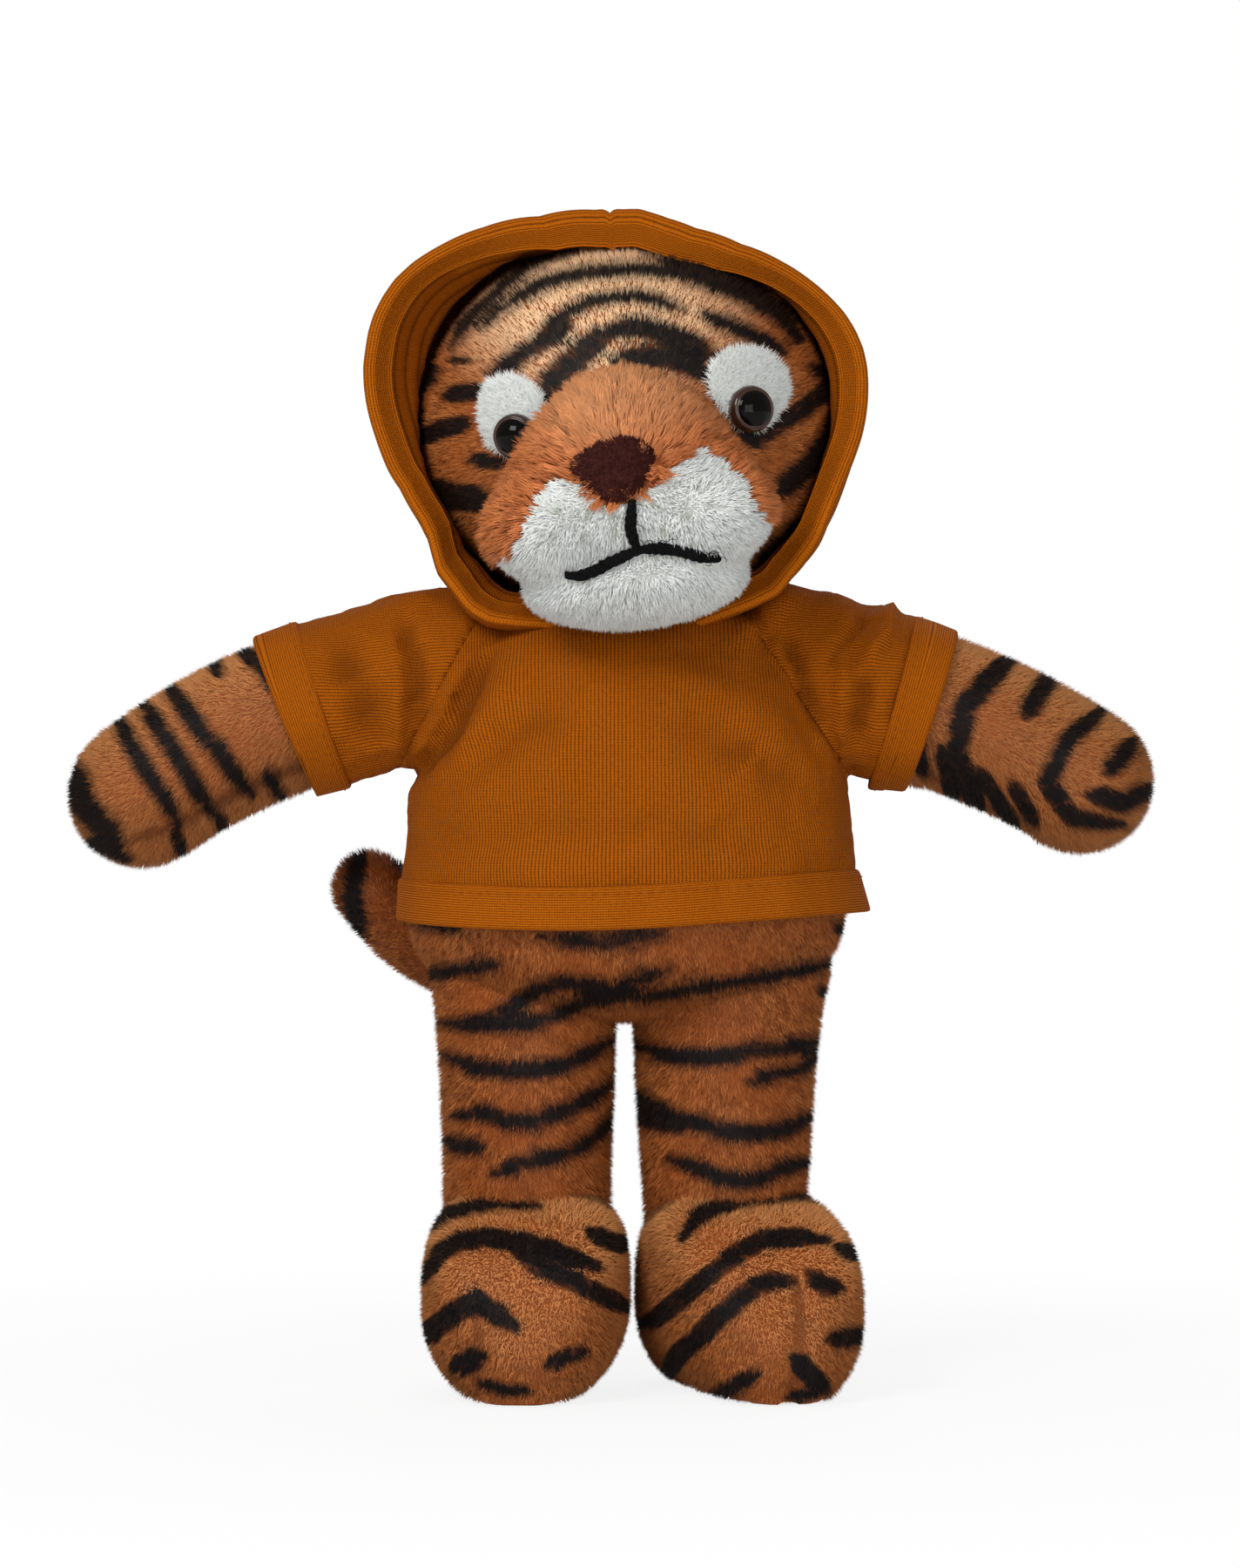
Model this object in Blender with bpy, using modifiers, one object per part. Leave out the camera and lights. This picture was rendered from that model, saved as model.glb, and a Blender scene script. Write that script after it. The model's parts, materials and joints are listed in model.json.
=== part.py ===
"""A stuffed toy tiger in a hooded T-shirt, standing on its feet with its arms held out.

Metres, with +Z up. The toy faces -Y, and left and right are its own: its left is +X.
The skin of each stuffed part and the fibre inside it are one solid. Every piece is drawn in
the toy's own frame, whose +Z axis runs up the middle of the body, and hangs from an empty.
"""
import math

import bmesh
import bpy
import numpy as np
from mathutils import Matrix, Vector
from mathutils.bvhtree import BVHTree

# The toy's middle line, off the centre of its outline because the arms and tail aren't even
body_x = 0.0035
body_y = 0.0055

# Clearances
seam_gap = 0.00035
joint_gap = 0.0007
socket_gap = 0.0011
weld_distance = 0.00001

# Torso, from its seat up to the shoulders, and the round neck on top
torso_half_width = 0.0585
torso_half_depth = 0.0465
seat_height = 0.0960
shoulder_height = 0.2090
neck_radius = 0.0235
neck_sink = 0.0100
torso_shares = [
    (0.00, 0.00, 0.00), (0.06, 0.68, 0.72), (0.15, 0.93, 0.93), (0.27, 1.00, 1.00),
    (0.45, 0.97, 1.00), (0.62, 0.93, 0.96), (0.75, 0.85, 0.88), (0.86, 0.71, 0.76),
    (0.94, 0.50, 0.58), (1.00, 0.00, 0.00),
]

# Head, an egg a little fuller at the cheeks, tipped and turned as it is sewn on
head_half_width = 0.0555
head_half_depth = 0.0500
head_half_height = 0.0500
head_lift = 0.0453
head_tip = math.radians(-5.5)
head_turn = math.radians(-2.0)
head_shares = [
    (0.00, 0.00, 0.00), (0.05, 0.45, 0.45), (0.15, 0.74, 0.73), (0.30, 0.93, 0.92),
    (0.47, 1.00, 1.00), (0.65, 0.955, 0.96), (0.82, 0.77, 0.78), (0.94, 0.48, 0.48),
    (1.00, 0.00, 0.00),
]

# Face pieces, placed from the middle of the head
muzzle_half_width = 0.0378
muzzle_half_depth = 0.0280
muzzle_top = 0.0120
muzzle_bottom = 0.0470
muzzle_shares = [
    (0.00, 0.00, 0.00), (0.08, 0.70, 0.60), (0.20, 0.93, 0.86), (0.33, 1.00, 0.97),
    (0.50, 0.89, 1.00), (0.65, 0.74, 0.93), (0.78, 0.60, 0.72), (0.89, 0.42, 0.48),
    (0.97, 0.22, 0.25), (1.00, 0.00, 0.00),
]
cheek_half_width = 0.0190
cheek_half_depth = 0.0190
cheek_half_height = 0.0155
cheek_drop = 0.0290
chin_half_width = 0.0310
chin_half_depth = 0.0230
chin_half_height = 0.0135
chin_drop = 0.0440
nose_half_width = 0.0115
nose_half_depth = 0.0050
nose_height = 0.0165
nose_drop = 0.0248
nose_aside = 0.0023
yarn_radius = 0.0013
philtrum_height = 0.0120
smile_half_width = 0.0190
smile_drop = 0.0360
smile_sag = 0.0040
mouth_aside = 0.0020

# Eyes: a 12 mm safety eye with a ridged shank, held by a washer behind the skin
eye_diameter = 0.0120
eye_dome_height = 0.0046
eye_spread = 0.0271
eye_aside = 0.0030
eye_drop = 0.0023
shank_radius = 0.0017
shank_length = 0.0130
shank_ridges = 3
ridge_height = 0.0003
washer_radius = 0.0060
washer_thickness = 0.0018
washer_depth = 0.0050
patch_half_width = 0.0118
patch_half_height = 0.0138
patch_rise = 0.0025
patch_half_thickness = 0.0040
patch_lift = 0.0030

# Ears, folded flat under the hood
ear_half_width = 0.0150
ear_half_height = 0.0130
ear_half_thickness = 0.0050
ear_angle = math.radians(52.0)
ear_back = 0.0080
ear_lift = 0.0018

# Hood, a round pouch of two panels with a folded rim, open to the front
cloth_thickness = 0.0018
hood_half_width = 0.0652
hood_lift = 0.0098
hood_rise = 0.0438
hood_drop = 0.0630
hood_back = 0.0630
hood_edge = 0.0280
hood_aside = 0.0015
rim_width = 0.0138
rim_fold = 0.0008
hood_shares = [
    (0.000, 0.00), (0.050, 0.45), (0.120, 0.755), (0.220, 0.920), (0.350, 1.00),
    (0.520, 1.01), (0.660, 1.000), (0.830, 0.86), (0.950, 0.45), (1.000, 0.00),
]
hood_depth_share = 1.50

# Shirt
shirt_gap = 0.0008
hem_bottom = 0.1230
hem_width = 0.0113
hem_fold = 0.0007
collar_radius = 0.0028
collar_drop = 0.0062
collar_reach = 0.0050
collar_depth_share = 0.90

# Arms: bowed tubes that droop towards the paw
arm_radius = 0.0205
wrist_share = 0.955
paw_share = 0.92
shoulder_inset = 0.0125
shoulder_drop = 0.0226
arm_root_angle = math.radians(7.5)
arm_low_angle = math.radians(8.0)
sleeve_gap = 0.0006
cuff_width = 0.0110
cuff_fold = 0.0007
arm_sides = {
    "left": {"side": 1, "length": 0.0995, "tip_angle": math.radians(27.5), "sleeve": 0.0250},
    "right": {"side": -1, "length": 0.1090, "tip_angle": math.radians(33.5), "sleeve": 0.0345},
}

# Legs and feet
hip_height = 0.1080
hip_spacing = 0.0524
leg_half_width = 0.0234
leg_half_depth = 0.0260
ankle_height = 0.0300
ankle_share = 0.93
leg_forward_angle = math.radians(65.0)
leg_back_angle = math.radians(15.0)
foot_half_width = 0.0265
foot_half_height = 0.02825
foot_heel = 0.0270
foot_toe = 0.0590
foot_sink = 0.0045
foot_crown = 3.6
sole_thickness = 0.0030
foot_turn = {"left": math.radians(17.0), "right": math.radians(3.0)}
foot_shares = [
    (0.00, 0.00, 0.00), (0.04, 0.42, 0.42), (0.14, 0.72, 0.76), (0.32, 0.93, 0.97),
    (0.50, 1.00, 1.00), (0.70, 0.99, 0.90), (0.86, 0.82, 0.74), (0.96, 0.45, 0.42),
    (1.00, 0.00, 0.00),
]

# Tail: a ball root low on the back, then a run round to the toy's right
tail_radius = 0.0125
tail_root_radius = 0.0120
tail_tip_radius = 0.0107
tail_wag_angle = math.radians(95.0)
tail_root = Vector((0, 0.0440, 0.1090))
tail_route = [
    Vector((-0.0150, 0.0540, 0.1065)), Vector((-0.0370, 0.0570, 0.1090)),
    Vector((-0.0560, 0.0510, 0.1180)), Vector((-0.0695, 0.0430, 0.1300)),
]

# What the sizes above settle
head_height = shoulder_height + head_lift
head_bottom = head_height - head_half_height
neck_top = head_bottom + neck_sink
shoulder_x = torso_half_width - shoulder_inset
shoulder_z = shoulder_height - shoulder_drop
hip_x = hip_spacing / 2
hood_height = head_height + hood_lift
hood_depth = hood_depth_share * (hood_back + hood_edge)
cutter_reach = 3 * (hood_height + hood_rise)

orange_knit = (0.42, 0.105, 0.004)
tan_fur = (0.53, 0.21, 0.085)
orange_pile = (0.60, 0.19, 0.065)
white_pile = (0.72, 0.74, 0.71)
brown_velour = (0.040, 0.009, 0.010)
black_yarn = (0.012, 0.011, 0.011)
eye_plastic = (0.006, 0.004, 0.003)
washer_plastic = (0.62, 0.62, 0.60)


def clear_scene():
    for thing in list(bpy.data.objects):
        bpy.data.objects.remove(thing, do_unlink=True)


def new_collection(name):
    collection = bpy.data.collections.new(name)
    bpy.context.scene.collection.children.link(collection)
    return collection


def empty_at(name, place, parent=None):
    """An empty on a joint's axis, in the toy's own frame."""
    holder = bpy.data.objects.new(name, None)
    holder.empty_display_size = seam_gap
    toy.objects.link(holder)
    holder.location = place
    holder.parent = parent
    return holder


def hang(thing, holder):
    """Parents a piece drawn in the toy's frame to the empty of its body."""
    thing.parent = holder
    if holder is not root:
        thing.matrix_parent_inverse.translation = -holder.location


def show(thing, holder, colour, roughness):
    """Makes a drawn form a piece of the toy, with a material of its own."""
    hang(thing, holder)
    cutters.objects.unlink(thing)
    toy.objects.link(thing)
    thing.hide_render = False
    thing.display_type = "TEXTURED"
    material = bpy.data.materials.new(thing.name)
    material.use_nodes = True
    shader = material.node_tree.nodes["Principled BSDF"]
    shader.inputs["Base Color"].default_value = (*colour, 1)
    shader.inputs["Roughness"].default_value = roughness
    material.diffuse_color = (*colour, 1)
    thing.data.materials.append(material)
    thing.data.shade_smooth()
    return thing


def drawn(name, mesh):
    """A form outside the render, to be shown as a piece or kept as a cutter."""
    form = bpy.data.objects.new(name, mesh)
    cutters.objects.link(form)
    form.parent = root
    form.hide_render = True
    form.display_type = "WIRE"
    return form


def from_bmesh(name, shape):
    mesh = bpy.data.meshes.new(name)
    shape.normal_update()
    bmesh.ops.recalc_face_normals(shape, faces=shape.faces)
    shape.to_mesh(mesh)
    shape.free()
    return drawn(name, mesh)


def smooth_through(points, before, after, count):
    """Evenly spaced samples of the centripetal Catmull-Rom curve through the points."""
    knots = np.array([before, *points, after], float)
    samples = []
    for p0, p1, p2, p3 in zip(knots, knots[1:], knots[2:], knots[3:]):
        steps = [math.sqrt(np.linalg.norm(b - a)) for a, b in ((p0, p1), (p1, p2), (p2, p3))]
        t0, t1, t2, t3 = 0, steps[0], sum(steps[:2]), sum(steps)
        t = np.linspace(t1, t2, 24, endpoint=False)[:, None]
        a1 = ((t1 - t) * p0 + (t - t0) * p1) / (t1 - t0)
        a2 = ((t2 - t) * p1 + (t - t1) * p2) / (t2 - t1)
        a3 = ((t3 - t) * p2 + (t - t2) * p3) / (t3 - t2)
        b1 = ((t2 - t) * a1 + (t - t0) * a2) / (t2 - t0)
        b2 = ((t3 - t) * a2 + (t - t1) * a3) / (t3 - t1)
        samples.append(((t2 - t) * b1 + (t - t1) * b2) / (t2 - t1))
    samples = np.concatenate([*samples, knots[-2:-1]])
    lengths = np.linalg.norm(np.diff(samples, axis=0), axis=1)
    along = np.concatenate([[0], np.cumsum(lengths)])
    wanted = np.linspace(0, along[-1], count)
    return np.stack([np.interp(wanted, along, column) for column in samples.T], axis=1)


def stuffed(name, sections, across, rings, sides, crown=2):
    """A UV sphere whose rings are drawn out along the sections: (centre, half width, half depth).

    The first and last sections are the poles, with no width. The curve meets them square, so
    the ends are round. The half width runs along the across direction. A crown above 2 squares
    the upper half of each ring off.
    """
    rows = [(*centre, width, depth) for centre, width, depth in sections]
    mirror = np.array([1, 1, 1, -1, -1])
    samples = smooth_through(rows, rows[1] * mirror, rows[-2] * mirror, rings + 1)
    centres = [Vector(row[:3]) for row in samples]
    shape = bmesh.new()
    bmesh.ops.create_uvsphere(shape, u_segments=sides, v_segments=rings, radius=1)
    for vertex in shape.verts:
        unit = vertex.co
        index = rings - round(math.acos(max(-1, min(1, unit.z))) / math.pi * rings)
        turn = math.atan2(unit.y, unit.x)
        low, high = max(index - 1, 0), min(index + 1, rings)
        tangent = (centres[high] - centres[low]).normalized()
        side = (across - tangent * across.dot(tangent)).normalized()
        half_width, half_depth = samples[index][3:]
        power = 2 / crown if turn > 0 else 1
        width = math.copysign(half_width * abs(math.cos(turn)) ** power, math.cos(turn))
        depth = math.copysign(half_depth * abs(math.sin(turn)) ** power, math.sin(turn))
        offset = side * width + tangent.cross(side) * depth
        vertex.co = centres[index] + (Vector() if index in (0, rings) else offset)
    bmesh.ops.triangulate(shape, faces=shape.faces)
    return from_bmesh(name, shape)


def ball(name, centre, half_sizes, rings=12, sides=20):
    shape = bmesh.new()
    bmesh.ops.create_uvsphere(shape, u_segments=sides, v_segments=rings, radius=1)
    bmesh.ops.scale(shape, vec=half_sizes, verts=shape.verts)
    form = from_bmesh(name, shape)
    form.location = centre
    return form


def turned(name, profile, steps, closed=False):
    """A solid of revolution about its own Z, from a profile of (radius, height) that runs down."""
    edges = [(i, i + 1) for i in range(len(profile) - 1)] + ([(len(profile) - 1, 0)] if closed else [])
    mesh = bpy.data.meshes.new(name)
    mesh.from_pydata([(radius, 0, height) for radius, height in profile], edges, [])
    form = drawn(name, mesh)
    screw = form.modifiers.new("turn", "SCREW")
    screw.steps = steps
    screw.render_steps = steps
    screw.use_merge_vertices = True
    screw.merge_threshold = weld_distance
    return settled(form)


def tube(name, points, radius, sides_resolution=1, cyclic=False):
    """A round cord through the points, as a mesh with its caps welded."""
    curve = bpy.data.curves.new(name, "CURVE")
    curve.dimensions = "3D"
    curve.bevel_depth = radius
    curve.bevel_resolution = sides_resolution
    curve.use_fill_caps = not cyclic
    spline = curve.splines.new("POLY")
    spline.points.add(len(points) - 1)
    for control, point in zip(spline.points, points):
        control.co = (*point, 1)
    spline.use_cyclic_u = cyclic
    return settled(drawn(name, curve))


def settled(form):
    """The form as a plain welded mesh, so that it can be cut or be a cutter."""
    bpy.context.view_layer.update()
    graph = bpy.context.evaluated_depsgraph_get()
    mesh = bpy.data.meshes.new_from_object(form.evaluated_get(graph))
    name = form.name
    bpy.data.objects.remove(form, do_unlink=True)
    mesh.name = name
    shape = bmesh.new()
    shape.from_mesh(mesh)
    bmesh.ops.remove_doubles(shape, verts=shape.verts, dist=weld_distance)
    bmesh.ops.recalc_face_normals(shape, faces=shape.faces)
    shape.to_mesh(mesh)
    shape.free()
    return drawn(name, mesh)


def grown(form, amount):
    """A copy of an uncut form with its surface moved out by the amount, or in where it is below 0."""
    shape = bmesh.new()
    shape.from_mesh(form.data)
    shape.normal_update()
    moves = [(vertex, vertex.normal * amount) for vertex in shape.verts]
    for vertex, move in moves:
        vertex.co += move
    copy = from_bmesh(f"{form.name}_grown", shape)
    copy.location = form.location
    copy.rotation_euler = form.rotation_euler
    return copy


def cut(piece, *tools, solver="EXACT"):
    for tool in tools:
        boolean = piece.modifiers.new(tool.name, "BOOLEAN")
        boolean.operation = "DIFFERENCE"
        boolean.solver = solver
        boolean.object = tool


def join(piece, tool):
    boolean = piece.modifiers.new(tool.name, "BOOLEAN")
    boolean.operation = "UNION"
    boolean.object = tool


def half_space(name, point, normal):
    """A block that fills the side of a plane that its normal points to."""
    shape = bmesh.new()
    bmesh.ops.create_cube(shape, size=cutter_reach)
    block = from_bmesh(name, shape)
    block.location = Vector(point) + Vector(normal).normalized() * (cutter_reach / 2)
    block.rotation_euler = Vector(normal).to_track_quat("Z", "Y").to_euler()
    return block


def turned_to(form, direction):
    form.rotation_euler = Vector(direction).to_track_quat("Z", "Y").to_euler()
    return form


def surface_of(*forms):
    """Finds the front of the forms: a function from (x, z) to the nearest point and its normal."""
    trees = []
    for form in forms:
        shape = bmesh.new()
        shape.from_mesh(form.data)
        shape.transform(form.matrix_basis)
        trees.append(BVHTree.FromBMesh(shape))
        shape.free()

    def front(x, z):
        hits = [tree.ray_cast(Vector((x, -cutter_reach, z)), Vector((0, 1, 0))) for tree in trees]
        place, normal, _, _ = min((hit for hit in hits if hit[0]), key=lambda hit: hit[0].y)
        return place, normal

    return front


def upright(shares, bottom, top, half_width, half_depth):
    """Sections of an upright form from shares of its height, half width and half depth."""
    return [
        (Vector((0, 0, bottom + share * (top - bottom))), width * half_width, depth * half_depth)
        for share, width, depth in shares
    ]


def make_torso():
    torso = stuffed(
        "torso",
        upright(torso_shares, seat_height, shoulder_height, torso_half_width, torso_half_depth),
        Vector((1, 0, 0)), 14, 24,
    )
    edge = neck_sink / 3
    neck = turned(
        "neck",
        [
            (0, neck_top), (neck_radius - edge, neck_top), (neck_radius, neck_top - edge),
            (neck_radius, shoulder_z), (0, shoulder_z),
        ],
        24,
    )
    return torso, neck


def in_head_frame(form):
    """Tips and turns a form drawn about the middle of the head into the toy's frame."""
    head_rotation = head_frame.rotation_euler.to_matrix().to_4x4()
    head_rotation.translation = head_frame.location
    form.data.transform(head_rotation @ form.matrix_basis)
    form.location = (0, 0, 0)
    form.rotation_euler = (0, 0, 0)
    return form


def make_head():
    """The head and face forms, all drawn about the middle of the head."""
    forms = {}
    forms["head"] = stuffed(
        "head",
        upright(head_shares, -head_half_height, head_half_height, head_half_width, head_half_depth),
        Vector((1, 0, 0)), 12, 24,
    )
    muzzle_y = -head_half_depth
    forms["muzzle"] = stuffed(
        "muzzle",
        upright(muzzle_shares, -muzzle_bottom, muzzle_top, muzzle_half_width, muzzle_half_depth),
        Vector((1, 0, 0)), 12, 22,
    )
    forms["muzzle"].location.y = muzzle_y
    cheek_y = muzzle_y - muzzle_half_depth / 3
    for name, side in (("cheek_left", 1), ("cheek_right", -1)):
        forms[name] = ball(
            name,
            (side * (cheek_half_width + seam_gap), cheek_y, -cheek_drop),
            (cheek_half_width, cheek_half_depth, cheek_half_height),
        )
    forms["chin"] = ball(
        "chin", (0, muzzle_y, -chin_drop), (chin_half_width, chin_half_depth, chin_half_height)
    )
    face = surface_of(forms["muzzle"], forms["cheek_left"], forms["cheek_right"], forms["chin"])
    nose_middle, _ = face(-nose_aside, -nose_drop + nose_height / 2)
    nose_shares = ((0, 0), (0.06, 0.36), (0.30, 0.74), (0.62, 1), (0.90, 0.72), (1, 0))
    forms["nose"] = stuffed(
        "nose",
        [
            (
                Vector((nose_middle.x, nose_middle.y, -nose_drop + share * nose_height)),
                width * nose_half_width,
                width * nose_half_depth,
            )
            for share, width in nose_shares
        ],
        Vector((1, 0, 0)), 8, 16,
    )
    smile_shares = ((-1, 1), (-0.55, 0.85), (-0.2, 0.35), (0, 0), (0.2, 0.35), (0.55, 0.85), (1, 1))
    smile = [
        face(mouth_aside + x * smile_half_width, -smile_drop - sag * smile_sag)[0]
        for x, sag in smile_shares
    ]
    philtrum_shares = (0, 0.34, 0.67, 1)
    philtrum = [face(mouth_aside, -smile_drop + share * philtrum_height)[0] for share in philtrum_shares]
    forms["smile"] = tube(
        "smile", smooth_through(smile, 2 * smile[0] - smile[1], 2 * smile[-1] - smile[-2], 15), yarn_radius
    )
    forms["mouth_yarn"] = tube("mouth_yarn", philtrum, yarn_radius)
    for name, side in (("left", 1), ("right", -1)):
        eye_x = eye_aside + side * eye_spread
        place, normal = surface_of(forms["head"])(eye_x, -eye_drop + patch_rise)
        forms[f"eye_patch_{name}"] = turned_to(
            ball(
                f"eye_patch_{name}",
                place + normal * (patch_lift - patch_half_thickness),
                (patch_half_width, patch_half_height, patch_half_thickness),
                10, 20,
            ),
            normal,
        )
        place, normal = surface_of(forms["head"])(eye_x, -eye_drop)
        forms[f"eye_{name}"] = make_eye(f"eye_{name}", place, normal)
        forms[f"eye_washer_{name}"] = make_washer(f"eye_washer_{name}", place, normal)
        forms[f"eye_bore_{name}"] = make_eye_bore(f"eye_bore_{name}", place, normal)
        forms[f"washer_pocket_{name}"] = make_washer_pocket(f"washer_pocket_{name}", place, normal)
        forms[f"ear_{name}"] = make_ear(f"ear_{name}", side, forms["head"])
    return forms


def eye_dome(radius, height):
    """A quarter ellipse from the crown of the dome to its rim."""
    return [
        (radius * math.sin(turn), height * math.cos(turn))
        for turn in (math.radians(15 * step) for step in range(7))
    ]


def make_eye(name, place, normal):
    """A dome with a flat back and a ridged shank, run down its outer side."""
    profile = eye_dome(eye_diameter / 2, eye_dome_height)
    pitch = shank_length / (shank_ridges + 1)
    profile.append((shank_radius, 0))
    for ridge in range(shank_ridges):
        top = -(ridge + 0.5) * pitch
        profile += [(shank_radius, top), (shank_radius + ridge_height, top - pitch / 2)]
    profile += [(shank_radius, -shank_length), (0, -shank_length)]
    eye = turned(name, profile, 16)
    eye.location = place + normal * patch_lift
    return turned_to(eye, normal)


def make_eye_bore(name, place, normal):
    """The eye's seat in its patch and the bore for its shank, with a seam's gap all round."""
    seat = eye_diameter / 2 + seam_gap
    bore = shank_radius + ridge_height + seam_gap
    end = -shank_length - seam_gap
    profile = eye_dome(seat, eye_dome_height + seam_gap)
    profile += [(seat, -seam_gap), (bore, -seam_gap), (bore, end), (0, end)]
    cutter = turned(name, profile, 16)
    cutter.location = place + normal * patch_lift
    return turned_to(cutter, normal)


def make_washer(name, place, normal):
    inner, outer = shank_radius + ridge_height + seam_gap, washer_radius
    half = washer_thickness / 2
    washer = turned(name, [(inner, half), (outer, half), (outer, -half), (inner, -half)], 16, closed=True)
    washer.location = place - normal * washer_depth
    return turned_to(washer, normal)


def make_washer_pocket(name, place, normal):
    outer = washer_radius + seam_gap
    half = washer_thickness / 2 + seam_gap
    pocket = turned(name, [(0, half), (outer, half), (outer, -half), (0, -half)], 16)
    pocket.location = place - normal * washer_depth
    return turned_to(pocket, normal)


def make_ear(name, side, head):
    """A flat half disc, laid on the side of the crown."""
    shape = bmesh.new()
    shape.from_mesh(head.data)
    tree = BVHTree.FromBMesh(shape)
    shape.free()
    outward = Vector((side * math.sin(ear_angle), 0, math.cos(ear_angle)))
    far = outward * cutter_reach + Vector((0, ear_back, 0))
    place, normal, _, _ = tree.ray_cast(far, -outward)
    lens = ball(
        name,
        place + normal * (ear_lift - ear_half_thickness),
        (ear_half_height, ear_half_width, ear_half_thickness),
        8, 18,
    )
    return turned_to(lens, normal)


def make_hood_forms():
    """An egg on its side, deeper below its widest line than above it."""
    sections = [
        (
            Vector((-hood_aside, hood_back - share * hood_depth, hood_height)),
            width * hood_half_width,
            width * hood_rise,
        )
        for share, width in hood_shares
    ]
    pouch = stuffed("hood", sections, Vector((1, 0, 0)), 16, 28)
    for vertex in pouch.data.vertices:
        if vertex.co.z < hood_height:
            vertex.co.z = hood_height + (vertex.co.z - hood_height) * hood_drop / hood_rise
    return pouch


def arm_spine(side, length, tip_angle, count=9):
    """Points from the shoulder to the middle of the paw, each step drooping a little more."""
    reach = length - arm_radius
    points = [Vector((side * shoulder_x, 0, shoulder_z))]
    for step in range(count - 1):
        share = (step + 0.5) / (count - 1)
        angle = arm_root_angle + share * (tip_angle - arm_root_angle)
        points.append(points[-1] + Vector((side * math.cos(angle), 0, -math.sin(angle))) * (reach / (count - 1)))
    return points


def make_arm(name, side, length, tip_angle):
    """A ball at the shoulder, then a tube that narrows past the wrist to a round tip."""
    spine = arm_spine(side, length, tip_angle)
    root_way = Vector((-side, 0, 0))
    tip_way = (spine[-1] - spine[-2]).normalized()
    quarter = [math.radians(30 * step) for step in range(3)]
    sections = [
        (spine[0] + root_way * (arm_radius * math.cos(turn)), arm_radius * math.sin(turn), arm_radius * math.sin(turn))
        for turn in quarter
    ]
    radius_shares = [1, 1, 1, 0.99, 0.97, wrist_share, 0.94, 0.93, paw_share]
    sections += [(point, share * arm_radius, share * arm_radius) for point, share in zip(spine, radius_shares)]
    paw = paw_share * arm_radius
    sections += [
        (spine[-1] + tip_way * (paw * math.cos(turn)), paw * math.sin(turn), paw * math.sin(turn))
        for turn in reversed(quarter)
    ]
    return stuffed(name, sections, Vector((0, 1, 0)), 16, 16)


def make_leg(name, side):
    """An ellipsoid about the hip above, which turns freely in the seat, and a straight shank below."""
    x = side * hip_x
    quarter = [math.radians(15 * step) for step in range(6)]
    sections = [
        (
            Vector((x, 0, hip_height + leg_half_depth * math.cos(turn))),
            leg_half_width * math.sin(turn),
            leg_half_depth * math.sin(turn),
        )
        for turn in quarter
    ]
    shank_shares = [(0, 1, 1), (0.3, 1, 0.98), (0.6, 0.975, 0.95), (0.85, ankle_share, 0.92), (1, ankle_share, 0.90)]
    sections += [
        (Vector((x, 0, hip_height - share * (hip_height - ankle_height))), width * leg_half_width, depth * leg_half_depth)
        for share, width, depth in shank_shares
    ]
    heel_shares = ((0.3, 0.80), (0.5, 0.5), (0.58, 0))
    sections += [
        (Vector((x, 0, ankle_height - drop * leg_half_width)), width * leg_half_width, width * leg_half_depth)
        for drop, width in heel_shares
    ]
    return stuffed(name, sections, Vector((1, 0, 0)), 16, 20)


def make_foot(name, side, turn):
    """An egg that lies along Y with a nearly flat underside and a boxy top, turned out about the ankle."""
    length = foot_heel + foot_toe
    sections = [
        (Vector((0, foot_heel - share * length, 0)), width * foot_half_width, height * foot_half_height)
        for share, width, height in foot_shares
    ]
    foot = stuffed(name, sections, Vector((1, 0, 0)), 12, 20, foot_crown)
    length_shares = [share for share, _, _ in foot_shares]
    lift_shares = [max(height, foot_shares[1][2]) for _, _, height in foot_shares]
    for vertex in foot.data.vertices:
        lift = np.interp((foot_heel - vertex.co.y) / length, length_shares, lift_shares)
        vertex.co.z += lift * foot_half_height - foot_sink
    foot.rotation_euler.z = side * turn
    foot.location = (side * hip_x, 0, 0)
    return foot


def make_tail():
    quarter = [math.radians(30 * step) for step in range(3)]
    root_way = (tail_root - tail_route[0]).normalized()
    tip_way = (tail_route[-1] - tail_route[-2]).normalized()
    sections = [
        (tail_root + root_way * (tail_root_radius * math.cos(turn)), *[tail_root_radius * math.sin(turn)] * 2)
        for turn in quarter
    ]
    radii = [tail_root_radius, tail_radius, tail_radius, tail_radius, tail_tip_radius]
    sections += [(point, radius, radius) for point, radius in zip([tail_root, *tail_route], radii)]
    sections += [
        (tail_route[-1] + tip_way * (tail_tip_radius * math.cos(turn)), *[tail_tip_radius * math.sin(turn)] * 2)
        for turn in reversed(quarter)
    ]
    return stuffed("tail", sections, Vector((0, 0, 1)), 14, 14)


def swung(limb, joint, angle, axis):
    """The limb's form with its running gap, turned about its joint."""
    copy = grown(limb, joint_gap)
    copy.data.transform(
        Matrix.Translation(joint) @ Matrix.Rotation(angle, 4, axis) @ Matrix.Translation(-joint)
    )
    return copy


def joint_socket(name, joint, radius):
    """The round seat that a limb's ball end turns in, wide enough to clear the facets of both."""
    reach = radius + socket_gap
    return ball(name, joint, (reach, reach, reach), 12, 20)


def sleeve_way(spine, distance):
    """The arm's direction at a distance from the shoulder."""
    step = (spine[1] - spine[0]).length
    index = min(int(distance / step), len(spine) - 2)
    return (spine[index + 1] - spine[index]).normalized()


def sleeve_end(spine, distance):
    step = (spine[1] - spine[0]).length
    index = min(int(distance / step), len(spine) - 2)
    return spine[index] + sleeve_way(spine, distance) * (distance - index * step)


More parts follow.
